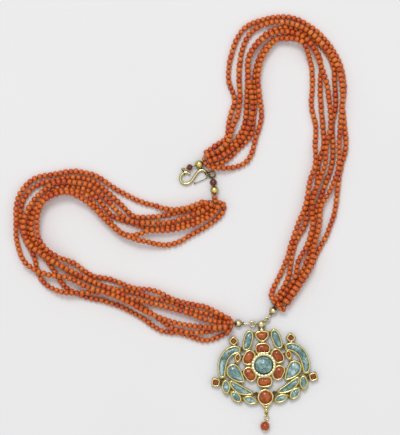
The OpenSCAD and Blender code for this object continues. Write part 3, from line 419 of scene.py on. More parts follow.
# Meshes
class Mesh:
    """Collects vertices and faces of one piece, with a tone and a painted shade for each vertex."""

    def __init__(self):
        self.verts, self.faces, self.slots, self.tones, self.shades = [], [], [], [], []

    def add(self, verts, faces, tone=0.5, slot=0, shades=None):
        base = len(self.verts)
        self.verts.extend(verts)
        self.tones.extend([tone] * len(verts))
        self.shades.extend([0] * len(verts) if shades is None else shades)
        self.faces.extend([[base + i for i in f] for f in faces])
        self.slots.extend([slot] * len(faces))

    def piece(self, name, materials, replaced=(), smooth=True):
        mesh = bpy.data.meshes.new(name)
        mesh.from_pydata([(x * MM, y * MM, z * MM) for x, y, z in self.verts], [], self.faces)
        for m in materials:
            mesh.materials.append(m)
        mesh.polygons.foreach_set("material_index", self.slots)
        mesh.polygons.foreach_set("use_smooth", [smooth] * len(self.faces))
        for label, values in (("tone", self.tones), ("painted_shade", self.shades)):
            mesh.attributes.new(label, "FLOAT", "POINT").data.foreach_set("value", values)
        mesh.update()
        obj = bpy.data.objects.new(name, mesh)
        bpy.context.scene.collection.objects.link(obj)
        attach(obj, "root")
        if replaced:
            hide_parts(*replaced)
        return obj


def rings_faces(rings, sides, closed=False, caps=False):
    """Quads between rings of the same number of sides, and the end caps."""
    faces = []
    for i in range(rings if closed else rings - 1):
        a, b = i * sides, (i + 1) % rings * sides
        faces.extend([a + j, a + (j + 1) % sides, b + (j + 1) % sides, b + j] for j in range(sides))
    if caps:
        faces.append(list(range(sides))[::-1])
        faces.append([(rings - 1) * sides + j for j in range(sides)])
    return faces


def across(way):
    """Two directions square to a direction and to each other."""
    side = np.cross(way, [0, 0, 1.0])
    if np.linalg.norm(side) < 1e-6:
        side = np.array([1.0, 0, 0])
    side /= np.linalg.norm(side)
    return side, np.cross(side, way)


def full_turn(steps):
    """Angles of equal steps round a circle."""
    return [2 * math.pi * i / steps for i in range(steps)]


def lathe(centre, way, profile, sides):
    """Vertices and faces of a profile of (along, radius) points turned about an axis."""
    way = np.array(way, float)
    side, up = across(way)
    verts = [
        centre + way * along + side * (r * math.cos(a)) + up * (r * math.sin(a))
        for along, r in profile for a in full_turn(sides)
    ]
    return verts, rings_faces(len(profile), sides)


def bead_profile(d, length, bore):
    """Profile of a drilled bead, from one mouth of its hole over the outside to the other."""
    r, h = d / 2, length / 2
    first = math.asin((bore / d) ** (1 / BEAD_FULLNESS))
    out = []
    for i in range(BEAD_ROWS + 1):
        a = first + (math.pi - 2 * first) * i / BEAD_ROWS
        out.append((-h * math.cos(a), r * math.sin(a) ** BEAD_FULLNESS))
    inner, narrow = h * MOUTH_IN, bore / 2 * MOUTH_NARROW
    return [(-inner, narrow)] + out + [(inner, narrow)]


def squared(a, square):
    """Cosine and sine of an angle, drawn out towards a square."""
    return (math.copysign(abs(v) ** square, v) for v in (math.cos(a), math.sin(a)))


def sweep(points, r, sides=8, closed=False, square=1, plane=None):
    """Tube along points, with caps at open ends. A square under 1 flattens its top and sides. An
    upright curve gives the direction square to its plane."""
    points = np.array(points, float)
    n = len(points)
    radii = r if hasattr(r, "__len__") else [r] * n
    verts = []
    for i, p in enumerate(points):
        after = points[(i + 1) % n] if closed else points[min(i + 1, n - 1)]
        before = points[i - 1] if closed else points[max(i - 1, 0)]
        way = (after - before) / np.linalg.norm(after - before)
        side, up = across(way) if plane is None else (plane, np.cross(plane, way))
        for a in full_turn(sides):
            c, d = squared(a, square)
            verts.append(p + side * (radii[i] * c) + up * (radii[i] * d))
    return verts, rings_faces(n, sides, closed, caps=not closed)


def ball(centre, r, sides=24, rows=12):
    steps = [math.pi * i / rows for i in range(rows + 1)]
    profile = [(-r * math.cos(a), max(r * math.sin(a), r * 0.01)) for a in steps]
    return lathe(np.array(centre, float), [0, 0, 1], profile, sides)


def open_curve(points, steps):
    """Smooth curve through points, from the first to the last."""
    p = np.array(points, float)
    return np.array([row_at(p, i / steps) for i in range(steps * (len(p) - 1) + 1)])


def closed_curve(points, steps=6):
    """Smooth closed curve through an outline's points."""
    p = np.array(points, float)
    n = len(p)
    return np.array([
        cubic(p[i - 1], p[i], p[(i + 1) % n], p[(i + 2) % n], s / steps)[0]
        for i in range(n) for s in range(steps)
    ])


def run_along(points):
    """Length along a line up to each of its points."""
    return np.concatenate([[0], np.cumsum(np.linalg.norm(np.diff(points, axis=0), axis=1))])


def softened(points, rounds=3, cut=0.2):
    """Outline with its corners cut again and again until they are round."""
    p = np.array(points, float)
    for _ in range(rounds):
        after = np.roll(p, -1, axis=0)
        p = np.stack([p * (1 - cut) + after * cut, p * cut + after * (1 - cut)], axis=1).reshape(-1, 2)
    return p


def both_halves(half):
    """Whole outline from its right half, whose two ends lie on x = 0."""
    return half + [[-x, y] for x, y in half[-2:0:-1]]


def heading(degrees):
    return np.array([math.cos(math.radians(degrees)), math.sin(math.radians(degrees)), 0])


def turned(points, degrees):
    """Plan points turned about the origin."""
    c, s, _ = heading(degrees)
    return np.array(points, float) @ np.array([[c, s], [-s, c]])


def ahead(p, way, l, z):
    """Point a length ahead of a place in the plan, at a height."""
    x, y, _ = l * heading(way)
    return np.array([p[0] + x, p[1] + y, z])


# Materials
def linear(r, g, b):
    """Colour from sRGB values of 0 to 255."""
    def one(v):
        v /= 255
        return v / 12.92 if v <= 0.04045 else ((v + 0.055) / 1.055) ** 2.4
    return (one(r), one(g), one(b), 1)


class Shade:
    """A node material with a Principled shader and short calls to build round it."""

    def __init__(self, name, **sockets):
        self.m = bpy.data.materials.new(name)
        self.m.use_nodes = True
        self.t = self.m.node_tree
        self.out = self.t.nodes["Principled BSDF"]
        self.fill(self.out, **sockets)

    def node(self, kind, **props):
        n = self.t.nodes.new("ShaderNode" + kind)
        for key, value in props.items():
            setattr(n, key, value)
        return n

    def fill(self, n, **values):
        for key, value in values.items():
            n.inputs[key.replace("_", " ")].default_value = value

    def link(self, a, b):
        self.t.links.new(a, b)

    def place(self):
        return self.node("TexCoord").outputs["Object"]

    def height(self, axis="Z"):
        """Height over the table in metres, or the place along another axis."""
        n = self.node("SeparateXYZ")
        self.link(self.place(), n.inputs[0])
        return n.outputs[axis]

    def noise(self, scale, detail=3, rough=0.5, distortion=0.0):
        n = self.node("TexNoise")
        self.fill(n, Scale=scale, Detail=detail, Roughness=rough, Distortion=distortion)
        self.link(self.place(), n.inputs["Vector"])
        return n.outputs["Fac"]

    def ramp(self, source, *stops):
        n = self.node("ValToRGB")
        e = n.color_ramp.elements
        while len(e) < len(stops):
            e.new(0.5)
        for i, (at, colour) in enumerate(stops):
            e[i].position = at
            e[i].color = colour
        self.link(source, n.inputs["Fac"])
        return n.outputs["Color"]

    def mix(self, factor, a, b, blend="MIX"):
        """Two colours mixed, in the node's sockets 6 and 7."""
        n = self.node("Mix", data_type="RGBA", blend_type=blend)
        for socket, value in ((n.inputs[0], factor), (n.inputs[6], a), (n.inputs[7], b)):
            if hasattr(value, "is_linked"):
                self.link(value, socket)
            else:
                socket.default_value = value
        return n.outputs[2]

    def span(self, source, low, high, start=0.0, end=1.0):
        n = self.node("MapRange")
        self.fill(n, From_Min=start, From_Max=end, To_Min=low, To_Max=high)
        self.link(source, n.inputs["Value"])
        return n.outputs["Result"]

    def bump(self, source, distance, strength=1.0):
        n = self.node("Bump")
        self.fill(n, Distance=distance * MM, Strength=strength)
        self.link(source, n.inputs["Height"])
        self.link(n.outputs["Normal"], self.out.inputs["Normal"])

    def value(self, name):
        return self.node("Attribute", attribute_name=name).outputs["Fac"]

    def set(self, name, source):
        self.link(source, self.out.inputs[name])


CORAL_TONES = (
    (0.0, linear(190, 58, 14)), (0.2, linear(202, 80, 18)), (0.5, linear(214, 99, 22)),
    (0.8, linear(222, 116, 30)), (1.0, linear(232, 136, 54)),
)


def coral_material():
    """Polished coral, each bead of its own tone, with painted shade round its holes where beads meet."""
    s = Shade("coral", Roughness=0.34, Specular_IOR_Level=0.4, Coat_Weight=0.25, Coat_Roughness=0.2,
              Subsurface_Weight=0.2, Subsurface_Scale=0.0012, Subsurface_Radius=RED_DEPTH)
    cloud = s.ramp(s.noise(900, 4, 0.6), (0.3, linear(178, 60, 8)), (0.7, linear(238, 132, 46)))
    colour = s.mix(0.25, s.ramp(s.value("tone"), *CORAL_TONES), cloud)
    # Painted shade: each bead turns deep red towards its holes, where it meets the next
    s.set("Base Color", s.mix(s.span(s.value("painted_shade"), 0.0, 0.8), colour, linear(126, 38, 4)))
    s.set("Roughness", s.span(s.noise(1500, 3), 0.26, 0.42))
    s.bump(s.noise(1800, 4, 0.6), 0.04, 0.4)
    return s.m


def gold_material(name, tones, low, high, dent, patina_and_shade=None, stain_and_shade=None, plan_only=False):
    """Worked gold, darker below the lower and its own colour above the upper height: painted shade on the
    low sides of each piece, with patina as well in the setting's recesses.
    """
    s = Shade(name, Metallic=1.0, Roughness=0.2)
    colour = s.ramp(s.noise(260, 4, 0.6), (0.3, tones[0]), (0.55, tones[1]), (0.75, tones[2]))
    # Painted shade: each piece gets darker towards its bottom
    if patina_and_shade:
        patina_and_shade_mask = s.span(s.height(), 1.0, 0.0, patina_and_shade[0] * MM, patina_and_shade[1] * MM)
        if plan_only:
            along = s.span(s.height("Y"), 0.0, 1.0, STAIN_AND_SHADE_FROM * MM, STAIN_AND_SHADE_TO * MM)
            inside = s.ramp(along, (0, BLACK), (0.02, WHITE), (0.98, WHITE), (1, BLACK))
            patina_and_shade_mask = s.mix(1.0, patina_and_shade_mask, inside, "MULTIPLY")
        colour = s.mix(patina_and_shade_mask, colour, s.mix(s.noise(420, 3, 0.6), *(stain_and_shade or OLIVE_PAINTED_SHADE)))
    s.set("Base Color", colour)
    s.set("Roughness", s.span(s.noise(700, 3), low, high))
    s.bump(s.noise(420, 3, 0.5), dent, 0.5)
    return s.m


def stone_material(name, dark, middle, light, scale, gloss=0.06, depth=0.2, radius=(0.6, 0.8, 0.8),
                   edge=None, shine=0.6):
    """Cloudy polished stone: two scales of cloud, painted shade by its edge and a glossy skin."""
    s = Shade(name, Roughness=gloss, Specular_IOR_Level=shine, Coat_Weight=0.25, Coat_Roughness=0.04,
              Subsurface_Weight=depth, Subsurface_Scale=0.0012, Subsurface_Radius=radius)
    cloud = s.ramp(s.noise(scale, 5, 0.62, 0.8), (0.38, dark), (0.5, middle), (0.62, light))
    fine = s.ramp(s.noise(scale * 4.5, 3, 0.7, 1.2), (0.38, dark), (0.62, light))
    colour = s.mix(0.3, cloud, fine)
    # Painted shade: the dark tone low by the stone's edge
    if edge:
        colour = s.mix(s.span(s.height(), 0.9, 0.0, edge[0] * MM, edge[1] * MM), colour, dark)
    s.set("Base Color", colour)
    s.set("Roughness", s.span(s.noise(scale * 3, 2), gloss * 0.8, gloss * 1.8))
    s.bump(s.noise(scale * 2, 3), 0.03, 0.3)
    return s.m


def silk_material():
    s = Shade("silk", Roughness=0.8, Specular_IOR_Level=0.2)
    s.set("Base Color", s.ramp(s.noise(1600, 2), (0.3, linear(120, 70, 40)), (0.7, linear(168, 118, 78))))
    s.bump(s.noise(2600, 2), 0.08, 0.6)
    return s.m


def floor_material():
    s = Shade("floor", Roughness=0.8)
    s.set("Base Color", s.ramp(s.noise(9, 2), (0.3, linear(238, 238, 238)), (0.7, linear(240, 240, 240))))
    return s.m


BLACK, WHITE = (0, 0, 0, 1), (1, 1, 1, 1)
CREAM_TONES = (linear(232, 216, 152), linear(243, 232, 182), linear(250, 244, 212))
YELLOW_TONES = (linear(228, 206, 108), linear(242, 224, 134), linear(252, 242, 180))
PALE_TONES = (linear(222, 204, 132), linear(236, 224, 162), linear(244, 236, 190))
BRIGHT_TONES = (linear(208, 188, 110), linear(224, 208, 134), linear(236, 222, 156))
# Darker olive gold for the setting: its own colour, partly painted shade between the rims
OLIVE_TONES = (linear(150, 128, 60), linear(178, 156, 82), linear(200, 180, 106))
DULL_TONES = (linear(104, 84, 40), linear(142, 120, 64), linear(172, 152, 92))
# Dark colours of the painted shade on the gold's lower sides, and in the setting's recesses of patina with
# painted shade
OLIVE_PAINTED_SHADE = (linear(104, 84, 14), linear(148, 124, 36))
BALL_PAINTED_SHADE = (linear(84, 66, 12), linear(132, 108, 30))
DARK_STAIN_AND_SHADE = (linear(62, 46, 14), linear(112, 90, 36))
# How far light goes into red stones, for red, green and blue
RED_DEPTH = (1.0, 0.35, 0.1)
# Heights between which the pendant's stones go from painted shade at their edge to their own colour
PENDANT_EDGE = (3.1, 4.4)
CORAL = coral_material()
# Gold: tones, least and greatest roughness, dents in millimetres, and the heights and dark colours of its
# painted shade, which in the setting is patina too
RIM_GOLD = gold_material("rim_gold", PALE_TONES, 0.16, 0.28, 0.015, (3.24, 3.6))
BEZEL_GOLD = gold_material("bezel_gold", CREAM_TONES, 0.16, 0.3, 0.02, (3.3, 4.1))
# The setting's recesses: patina with painted shade
SETTING_GOLD = gold_material("setting_gold", OLIVE_TONES, 0.2, 0.36, 0.04, (2.4, 3.3), DARK_STAIN_AND_SHADE, True)
BALL_GOLD = gold_material("ball_gold", CREAM_TONES, 0.1, 0.18, 0.01, (2.9, 4), BALL_PAINTED_SHADE)
CLASP_BALL_GOLD = gold_material("clasp_ball_gold", YELLOW_TONES, 0.1, 0.18, 0.01, (3.1, 4.2), BALL_PAINTED_SHADE)
HOOK_GOLD = gold_material("hook_gold", PALE_TONES, 0.14, 0.24, 0.015, (1.6, 2.42))
LINK_GOLD = gold_material("link_gold", CREAM_TONES, 0.16, 0.26, 0.015, (2.3, 2.8), DARK_STAIN_AND_SHADE)
GOLD = gold_material("polished_gold", BRIGHT_TONES, 0.12, 0.2, 0.01)
DARK_GOLD = gold_material("worn_gold", DULL_TONES, 0.25, 0.4, 0.03)
# Stones: dark, middle and light tone, and the clouds' scale
AQUA = stone_material(
    "aqua_stone", linear(24, 80, 72), linear(98, 152, 144), linear(212, 230, 230), 300, edge=PENDANT_EDGE
)
CARNELIAN = stone_material(
    "carnelian", linear(116, 38, 4), linear(166, 72, 14), linear(202, 110, 40), 300,
    radius=RED_DEPTH, edge=PENDANT_EDGE, shine=0.35
)
# The drop bead gets painted shade on its lower sides
DROP_CORAL = stone_material(
    "drop_coral", linear(140, 42, 6), linear(178, 72, 14), linear(204, 100, 30), 260,
    gloss=0.14, depth=0.1, radius=RED_DEPTH, edge=(3, 4.6), shine=0.35
)
GARNET = stone_material(
    "garnet", linear(96, 36, 4), linear(148, 68, 18), linear(188, 104, 44), 320,
    gloss=0.1, depth=0.1, radius=(1.0, 0.3, 0.1), shine=0.35
)
DARK_GARNET = stone_material(
    "garnet_bead", linear(48, 14, 8), linear(88, 34, 18), linear(124, 62, 38), 320,
    gloss=0.2, depth=0.1, radius=(1.0, 0.2, 0.1), shine=0.35
)
AMBER_STONE = stone_material(
    "amber", linear(150, 60, 12), linear(194, 92, 24), linear(216, 122, 48), 300,
    gloss=0.1, depth=0.3, radius=(1.0, 0.6, 0.2)
)
SILK = silk_material()


# Strings of beads
def add_bead(mesh, centre, way, d, tone):
    """Adds a drilled bead along a way, and gives its length."""
    length = d * BEAD_LENGTH
    shades = [painted_shade for painted_shade in BEAD_PAINTED_SHADES for _ in range(BEAD_SIDES)]
    verts, faces = lathe(centre, way, bead_profile(d, length, BORE), BEAD_SIDES)
    mesh.add(verts, faces, tone=tone, shades=shades)
    return length


def bead_tone(shift):
    """Where a bead lies between the darkest and the lightest coral."""
    if random.random() < DARK_SHARE:
        return random.uniform(0, DARK_TONE)
    return min(1, max(0, random.gauss(MEAN_TONE + shift, TONE_SPREAD)))


def either_way(most):
    return random.uniform(-most, most)


def askew(way):
    """A direction a little off the given one."""
    way = way / np.linalg.norm(way) + np.array([either_way(BEAD_ASKEW) for _ in range(3)])
    return way / np.linalg.norm(way)


def strand(name, route, shift, placed):
    """Beads of slightly different sizes on a thread, one after another along a route."""
    run = run_along(route)

    def at(l):
        return np.array([np.interp(l, run, route[:, i]) for i in range(3)])

    mesh = Mesh()
    thread = [at(l) for l in np.linspace(THREAD_IN, run[-1] - THREAD_IN, int(run[-1] / THREAD_STEP))]
    mesh.add(*sweep(thread, THREAD_R, 6), slot=1)
    l = 0.0
    while True:
        d = random.uniform(BEAD_MIN, BEAD_MAX)
        middle = l + d * BEAD_LENGTH / 2
        if middle + d * BEAD_LENGTH / 2 > run[-1] + BEAD_PAST_END:
            break
        c = at(middle) + np.array([either_way(BEAD_ASIDE), either_way(BEAD_ASIDE), 0])
        c[2] = max(c[2], d / 2)
        way = askew(at(middle + BEAD_AIM) - at(middle - BEAD_AIM))
        l += add_bead(mesh, c, way, d, bead_tone(shift)) + BEAD_GAP
        placed.append([*c, d / 2])
    mesh.piece("beads_" + name, [CORAL, SILK], [name])


def resting_height(placed, x, y, r):
    """How low a ball can lie at a place, over the table and the balls already placed."""
    balls = np.array(placed)
    gap = np.hypot(balls[:, 0] - x, balls[:, 1] - y)
    reach = balls[:, 3] + r
    near = gap < reach
    return max([r, *(balls[near, 2] + np.sqrt(reach[near] ** 2 - gap[near] ** 2))])


def end_beads(name, ends, mouth, placed):
    """Smaller beads heaped over the threads, between the strings' ends and the bead that gathers them."""
    mesh = Mesh()
    middle = np.mean(ends, axis=0)[:2]
    way = mouth[:2] - middle
    run = np.linalg.norm(way)
    way = way / run
    side = np.array([-way[1], way[0]])
    aside = [(end[:2] - middle) @ side for end in ends]
    high = max(end[2] for end in ends)
    spots = []
    for _ in range(HEAP_TRIES):
        along = random.uniform(-HEAP_BACK, run + HEAP_ON)
        share = max(0, 1 - max(0, along) / run)
        wide = random.uniform(min(aside) * share - HEAP_MARGIN, max(aside) * share + HEAP_MARGIN)
        top = HEAP_LOW + (high - HEAP_LESS) * share ** HEAP_GROWTH
        r = random.uniform(END_BEAD_MIN, END_BEAD_MAX) / 2
        spots.append((middle + way * along + side * wide, top, r))
    while spots:
        spots = [(at, top, r) for at, top, r in spots if resting_height(placed, *at, r) < top]
        if not spots:
            break
        at, top, r = min(spots, key=lambda spot: resting_height(placed, *spot[0], spot[2]))
        z = resting_height(placed, *at, r)
        add_bead(mesh, np.array([*at, z]), askew(np.array([*way, 0.0])), 2 * r, bead_tone(0))
        placed.append([*at, z, r])
    mesh.piece("beads_by_" + name, [CORAL])


def gathering_balls(*rows):
    """Gold or amber beads as balls on the table: place and radius."""
    return [[p[0] + SHIFT[0], p[1] + SHIFT[1], r, r] for p, r in rows]


BUNDLES = [
    ("right", RIGHT_BUNDLE, RIGHT_PILE, CLASP_RIGHT, CLASP_RIGHT_WAY, CLASP_BEAD_R,
     GATHER_RIGHT, GATHER_RIGHT_WAY),
    ("left", LEFT_BUNDLE, LEFT_PILE, AMBER, CLASP_LEFT_WAY, AMBER_R, GATHER_LEFT, GATHER_LEFT_WAY),
]
for side, rows, pile, back, back_way, back_r, front, front_way in BUNDLES:
    rows = [np.array(r, float) for r in rows]
    laid = lay(rows, pile)
    placed = gathering_balls((back, back_r), (front, GATHER_BEAD_R), (CLASP_LEFT, CLASP_BEAD_R))
    routes = [string_route(rows, laid, k) for k in range(1, 7)]
    for k, route in enumerate(routes):
        strand(f"strand_{side}_{k + 1}", route, either_way(STRING_TONE_SHIFT), placed)
    for where, ends, bead, way, r in (
        ("back", [route[0] for route in routes], back, back_way, back_r),
        ("front", [route[-1] for route in routes], front, front_way, GATHER_BEAD_R),
    ):
        end_beads(f"threads_{side}_{where}", ends, ahead(bead, way, r + KNOT_OUT, r) + SHIFT, placed)


# Clasp
def hook():
    """The hook's wire, its wound shank, its eye and its thin tail."""
    mesh = Mesh()
    wire = [[x, y, HOOK_Z] for x, y in open_curve(HOOK_ROUTE + [SHANK_START], 8)] + SHIFT
    mesh.add(*sweep(wire, HOOK_R, 16))
    mesh.add(*ball(wire[0], HOOK_TIP_R))
    start = np.array([*SHANK_START, HOOK_Z]) + SHIFT
    way = heading(SHANK_WAY)
    side, up = across(way)
    mesh.add(*sweep([start - way * SHANK_IN, start + way * SHANK_L], SHANK_R, 16))
    turns = [2 * math.pi * i / 20 for i in range(20 * WRAP_TURNS + 1)]
    lift = (SHANK_L - 2 * WRAP_END) / turns[-1]
    wrap_r = SHANK_R + WRAP_R * WRAP_SINK
    wrap = [
        start + way * (WRAP_END + lift * a) + (side * math.cos(a) + up * math.sin(a)) * wrap_r
        for a in turns
    ]
    mesh.add(*sweep(wrap, WRAP_R, 8), slot=1)
    eye = np.array(HOOK_EYE) + SHIFT
    toward = heading(HOOK_EYE_WAY)
    neck = [start + way, (start + way * SHANK_NECK + eye - toward) / 2, eye - toward * HOOK_EYE_R]
    mesh.add(*sweep(neck, SHANK_NECK_R, 12))
    eye_wire = [
        eye + HOOK_EYE_R * (toward * math.cos(a) + np.array([0, 0, math.sin(a)])) for a in full_turn(40)
    ]
    eye_plane = heading(HOOK_EYE_WAY + 90)
    mesh.add(*sweep(eye_wire, HOOK_EYE_WIRE_R, 10, closed=True, plane=eye_plane), slot=1)
    tail = [[x, y, TAIL_Z] for x, y in open_curve(TAIL_ROUTE, 8)] + SHIFT
    mesh.add(*sweep(tail, np.linspace(TAIL_R, TAIL_R * TAIL_TAPER, len(tail)), 10), slot=1)
    mesh.add(*ball(tail[-1], TAIL_END_R, 16, 8), slot=1)
    mesh.piece("hook_wire", [HOOK_GOLD, DARK_GOLD], ["s_hook"])


def twisted_ring():
    """Two thin wires twisted together into the ring between hook and garnet bead."""
    middle = ahead(HOOK_EYE, HOOK_EYE_WAY, CLASP_RING_R, CLASP_RING_Z) + SHIFT
    tilt = math.radians(CLASP_RING_TILT)
    a = np.array([1.0, 0, 0])
    b = np.array([0, math.cos(tilt), math.sin(tilt)])
    normal = np.cross(a, b)
    mesh = Mesh()
    for phase in (0, math.pi):
        points = []
        for t in full_turn(96):
            twist = RING_TURNS * t + phase
            out = (a * math.cos(t) + b * math.sin(t)) * (CLASP_RING_R + RING_TWIST * math.cos(twist))
            points.append(middle + out + normal * (RING_TWIST * math.sin(twist)))
        mesh.add(*sweep(points, RING_WIRE_R, 8, closed=True))
    mesh.piece("twisted_ring", [DARK_GOLD], ["clasp_ring"])


def faceted_bead(name, start, end, reach, d):
    """Cut bead with flat facets and its hole along a line."""
    start, end = np.array(start, float), np.array(end, float)
    way = (end - start) / np.linalg.norm(end - start)
    profile = [(along * d / 2, out * d / 2) for along, out in GARNET_PROFILE]
    mesh = Mesh()
    mesh.add(*lathe(start + way * reach + SHIFT, way, profile, GARNET_SIDES))
    mesh.piece(name + "_cut", [DARK_GARNET], [name], smooth=False)


def links():
    """Smooth rings, each through the next, from the pendant to the gather beads."""
    pendant_ball = PENDANT[:2] + turned([[0, BALL_Y]], PENDANT_TURN)[0]
    for name, ball_way, gather, r in LINKS:
        eyelet = ahead(pendant_ball, ball_way, EYELET_OUT, CHAIN_Z)
        run = np.array(gather) - eyelet[:2]
        way = math.degrees(math.atan2(run[1], run[0]))
        middle = ahead(eyelet, way, r + LINK_SLACK, CHAIN_Z) + SHIFT
        mesh = Mesh()
        circle = [middle + r * heading(a) for a in range(0, 360, 9)]
        mesh.add(*sweep(circle, ROUND_LINK_WIRE_R, 16, closed=True))
        mesh.piece(f"round_link_{name}", [LINK_GOLD], [f"link_{name}_inner"])
        start = 2 * r - LINK_IN + OVAL_LINK_HALF_H
        end = np.linalg.norm(run) - GATHER_BEAD_R - LINK_GAP - OVAL_LINK_HALF_H
        turns = np.linspace(0, math.pi, 19)
        bend = [(OVAL_LINK_HALF_H * math.sin(a), OVAL_LINK_HALF_H * math.cos(a)) for a in turns]
        oval = [(end + out, up) for out, up in bend] + [(start - out, -up) for out, up in bend]
        points = [ahead(eyelet, way, along, CHAIN_Z + up) + SHIFT for along, up in oval]
        mesh = Mesh()
        mesh.add(*sweep(points, OVAL_LINK_WIRE_R, 16, closed=True, plane=heading(way + 90)))
        mesh.piece(f"oval_link_{name}", [LINK_GOLD], [f"link_{name}_outer"])


hook()
twisted_ring()
links()
faceted_bead("garnet_bead", PIN_LOOP, PIN_END, GARNET_REACH, GARNET_D)
eye_loop = ahead(EYE_RING, EYE_RING_WAY, EYE_RING_R, EYE_RING[2]) + EYE_LOOP_ASIDE
faceted_bead("eye_garnet", [*CLASP_RIGHT, CLASP_BEAD_R], eye_loop, EYE_GARNET_REACH, EYE_GARNET_D)


# Pendant
def on_pendant(plan, z):
    """Points of the pendant's plan at a height, in the model's frame."""
    flat = turned(plan, PENDANT_TURN) + (PENDANT + SHIFT)[:2]
    z = np.broadcast_to(z, len(flat))
    return [np.array([x, y, h]) for (x, y), h in zip(flat, z)]


def mirrored(points):
    return np.array(points) * [-1, 1]


def neck_rows():
    """Spine points and half widths of the neck stone."""
    turns = np.radians(np.linspace(NECK_FROM, NECK_TO, len(NECK_HALF)))
    spine = NECK_MIDDLE + NECK_RADII * np.stack([np.cos(turns), np.sin(turns)], axis=1)
    return np.column_stack([spine, NECK_HALF])


def band_sides(rows, steps=8):
    """Spine, its cross direction, half widths and fullness along a band with round ends."""
    fine = open_curve(rows, steps)
    spine = fine[:, :2]
    way = np.gradient(spine, axis=0)
    way /= np.linalg.norm(way, axis=1)[:, None]
    side = np.column_stack([way[:, 1], -way[:, 0]])
    run = run_along(spine)
    to_end = np.minimum(run, run[-1] - run) / BAND_END_RUN
    full = np.sqrt(1 - (1 - np.minimum(to_end, 1)) ** 2)
    return spine, side, fine[:, 2] * np.maximum(full, BAND_NARROWEST) ** 0.5, full


def band_outline(rows):
    """Closed outline of a band."""
    spine, side, half, _ = band_sides(rows)
    return np.concatenate([spine + side * half[:, None], (spine - side * half[:, None])[::-1]])


def dome_rings(top=DOME_TOP):
    """Share of the outline and height of each ring of a domed stone."""
    rings = [(STONE_FOOT, STONE_LOW), (1, GIRDLE)]
    for i in range(1, DOME_ROWS + 1):
        a = math.pi / 2 * i / DOME_ROWS
        rings.append((max(math.cos(a), STONE_TIP), GIRDLE + (top - GIRDLE) * math.sin(a) ** DOME_FULLNESS))
    return rings


def centre_rings():
    """The same for the middle stone, whose top is part of a ball."""
    rise = CENTRE_TOP - GIRDLE
    curve = (CENTRE_R ** 2 + rise ** 2) / (2 * rise)
    rings = [(CENTRE_FOOT, STONE_LOW), (1, GIRDLE)]
    for i in range(1, CENTRE_ROWS + 1):
        share = 1 - i / CENTRE_ROWS
        height = CENTRE_TOP - curve + math.sqrt(curve ** 2 - (CENTRE_R * share) ** 2)
        rings.append((max(share, CENTRE_TIP), height))
    return rings


def domed(outline, rings):
    """Vertices and faces of a stone whose rings are smaller copies of its outline."""
    outline = np.array(outline)
    middle = outline.mean(axis=0)
    verts = [p for f, z in rings for p in on_pendant(middle + (outline - middle) * f, z)]
    return verts, rings_faces(len(rings), len(outline), caps=True)


def domed_band(rows, flip):
    """Vertices and faces of a band stone: an arched section swept along its spine."""
    spine, side, half, full = band_sides(rows)
    turns = [math.pi * j / BAND_ARCS for j in range(BAND_ARCS + 1)]
    sections = [(math.cos(a), math.sin(a) ** BAND_FULLNESS) for a in turns]
    verts = []
    for p, s, h, f in zip(spine, side, half, full):
        plan = [p + s * h * c for c, _ in sections] + [p - s * h * STONE_FOOT, p + s * h * STONE_FOOT]
        rise = (DOME_TOP - GIRDLE) * min(1, h / half.max()) ** BAND_RISE * max(f, BAND_LOWEST)
        z = [GIRDLE + rise * up for _, up in sections] + [STONE_LOW, STONE_LOW]
        verts.extend(on_pendant(mirrored(plan) if flip else np.array(plan), z))
    return verts, rings_faces(len(spine), len(sections) + 2, caps=True)


def leaf(length, width, steps=12):
    """Outline of a leaf stone with two pointed ends, lengthways along x."""
    half = [
        [width / 2 * math.sin(math.pi * i / steps) ** LEAF_FULLNESS, length * (i / steps - 0.5)]
        for i in range(steps + 1)
    ]
    return turned(both_halves(half), -90)


def cut_square(side):
    """Square with its corners cut."""
    h = side / 2
    c = h - side * CORNER_CUT
    return [[h, -c], [h, c], [c, h], [-c, h], [-h, c], [-h, -c], [-c, -h], [c, -h]]


def placed_plan(shape, x, y, turn):
    return turned(shape, turn) + [x, y]


PETALS = [
    turned(closed_curve(both_halves(UPRIGHT_PETAL if abs(way) == 90 else PETAL)), way - 90)
    for way in PETAL_WAYS
]
CROWN_PLAN = closed_curve(both_halves(CROWN))
DROP_PLAN = closed_curve(both_halves(DROP))
LEAF_PLANS = [placed_plan(leaf(l, w), x, y, way) for x, y, l, w, way in LEAVES]
CORNER_PLANS = [placed_plan(cut_square(side), x, y, turn) for x, y, side, turn in CORNERS]
SIDE_STONES = [
    ("top_leaf_stone", closed_curve(TOP_LEAF), AQUA, "aqua"),
    ("body_stone", closed_curve(BODY), AQUA, "aqua"),
    ("beak_stone", softened(BEAK), GARNET, "carnelian"),
]
BAND_STONES = [("neck_stone", neck_rows()), ("wing_stone", np.array(WING))]


def stone(name, plans, material, rings=None, smooth=True):
    """One or more polished stones in place of the source's."""
    mesh = Mesh()
    for plan in plans:
        mesh.add(*domed(plan, rings or dome_rings()))
    mesh.piece(name + "_polished", [material], [name], smooth)


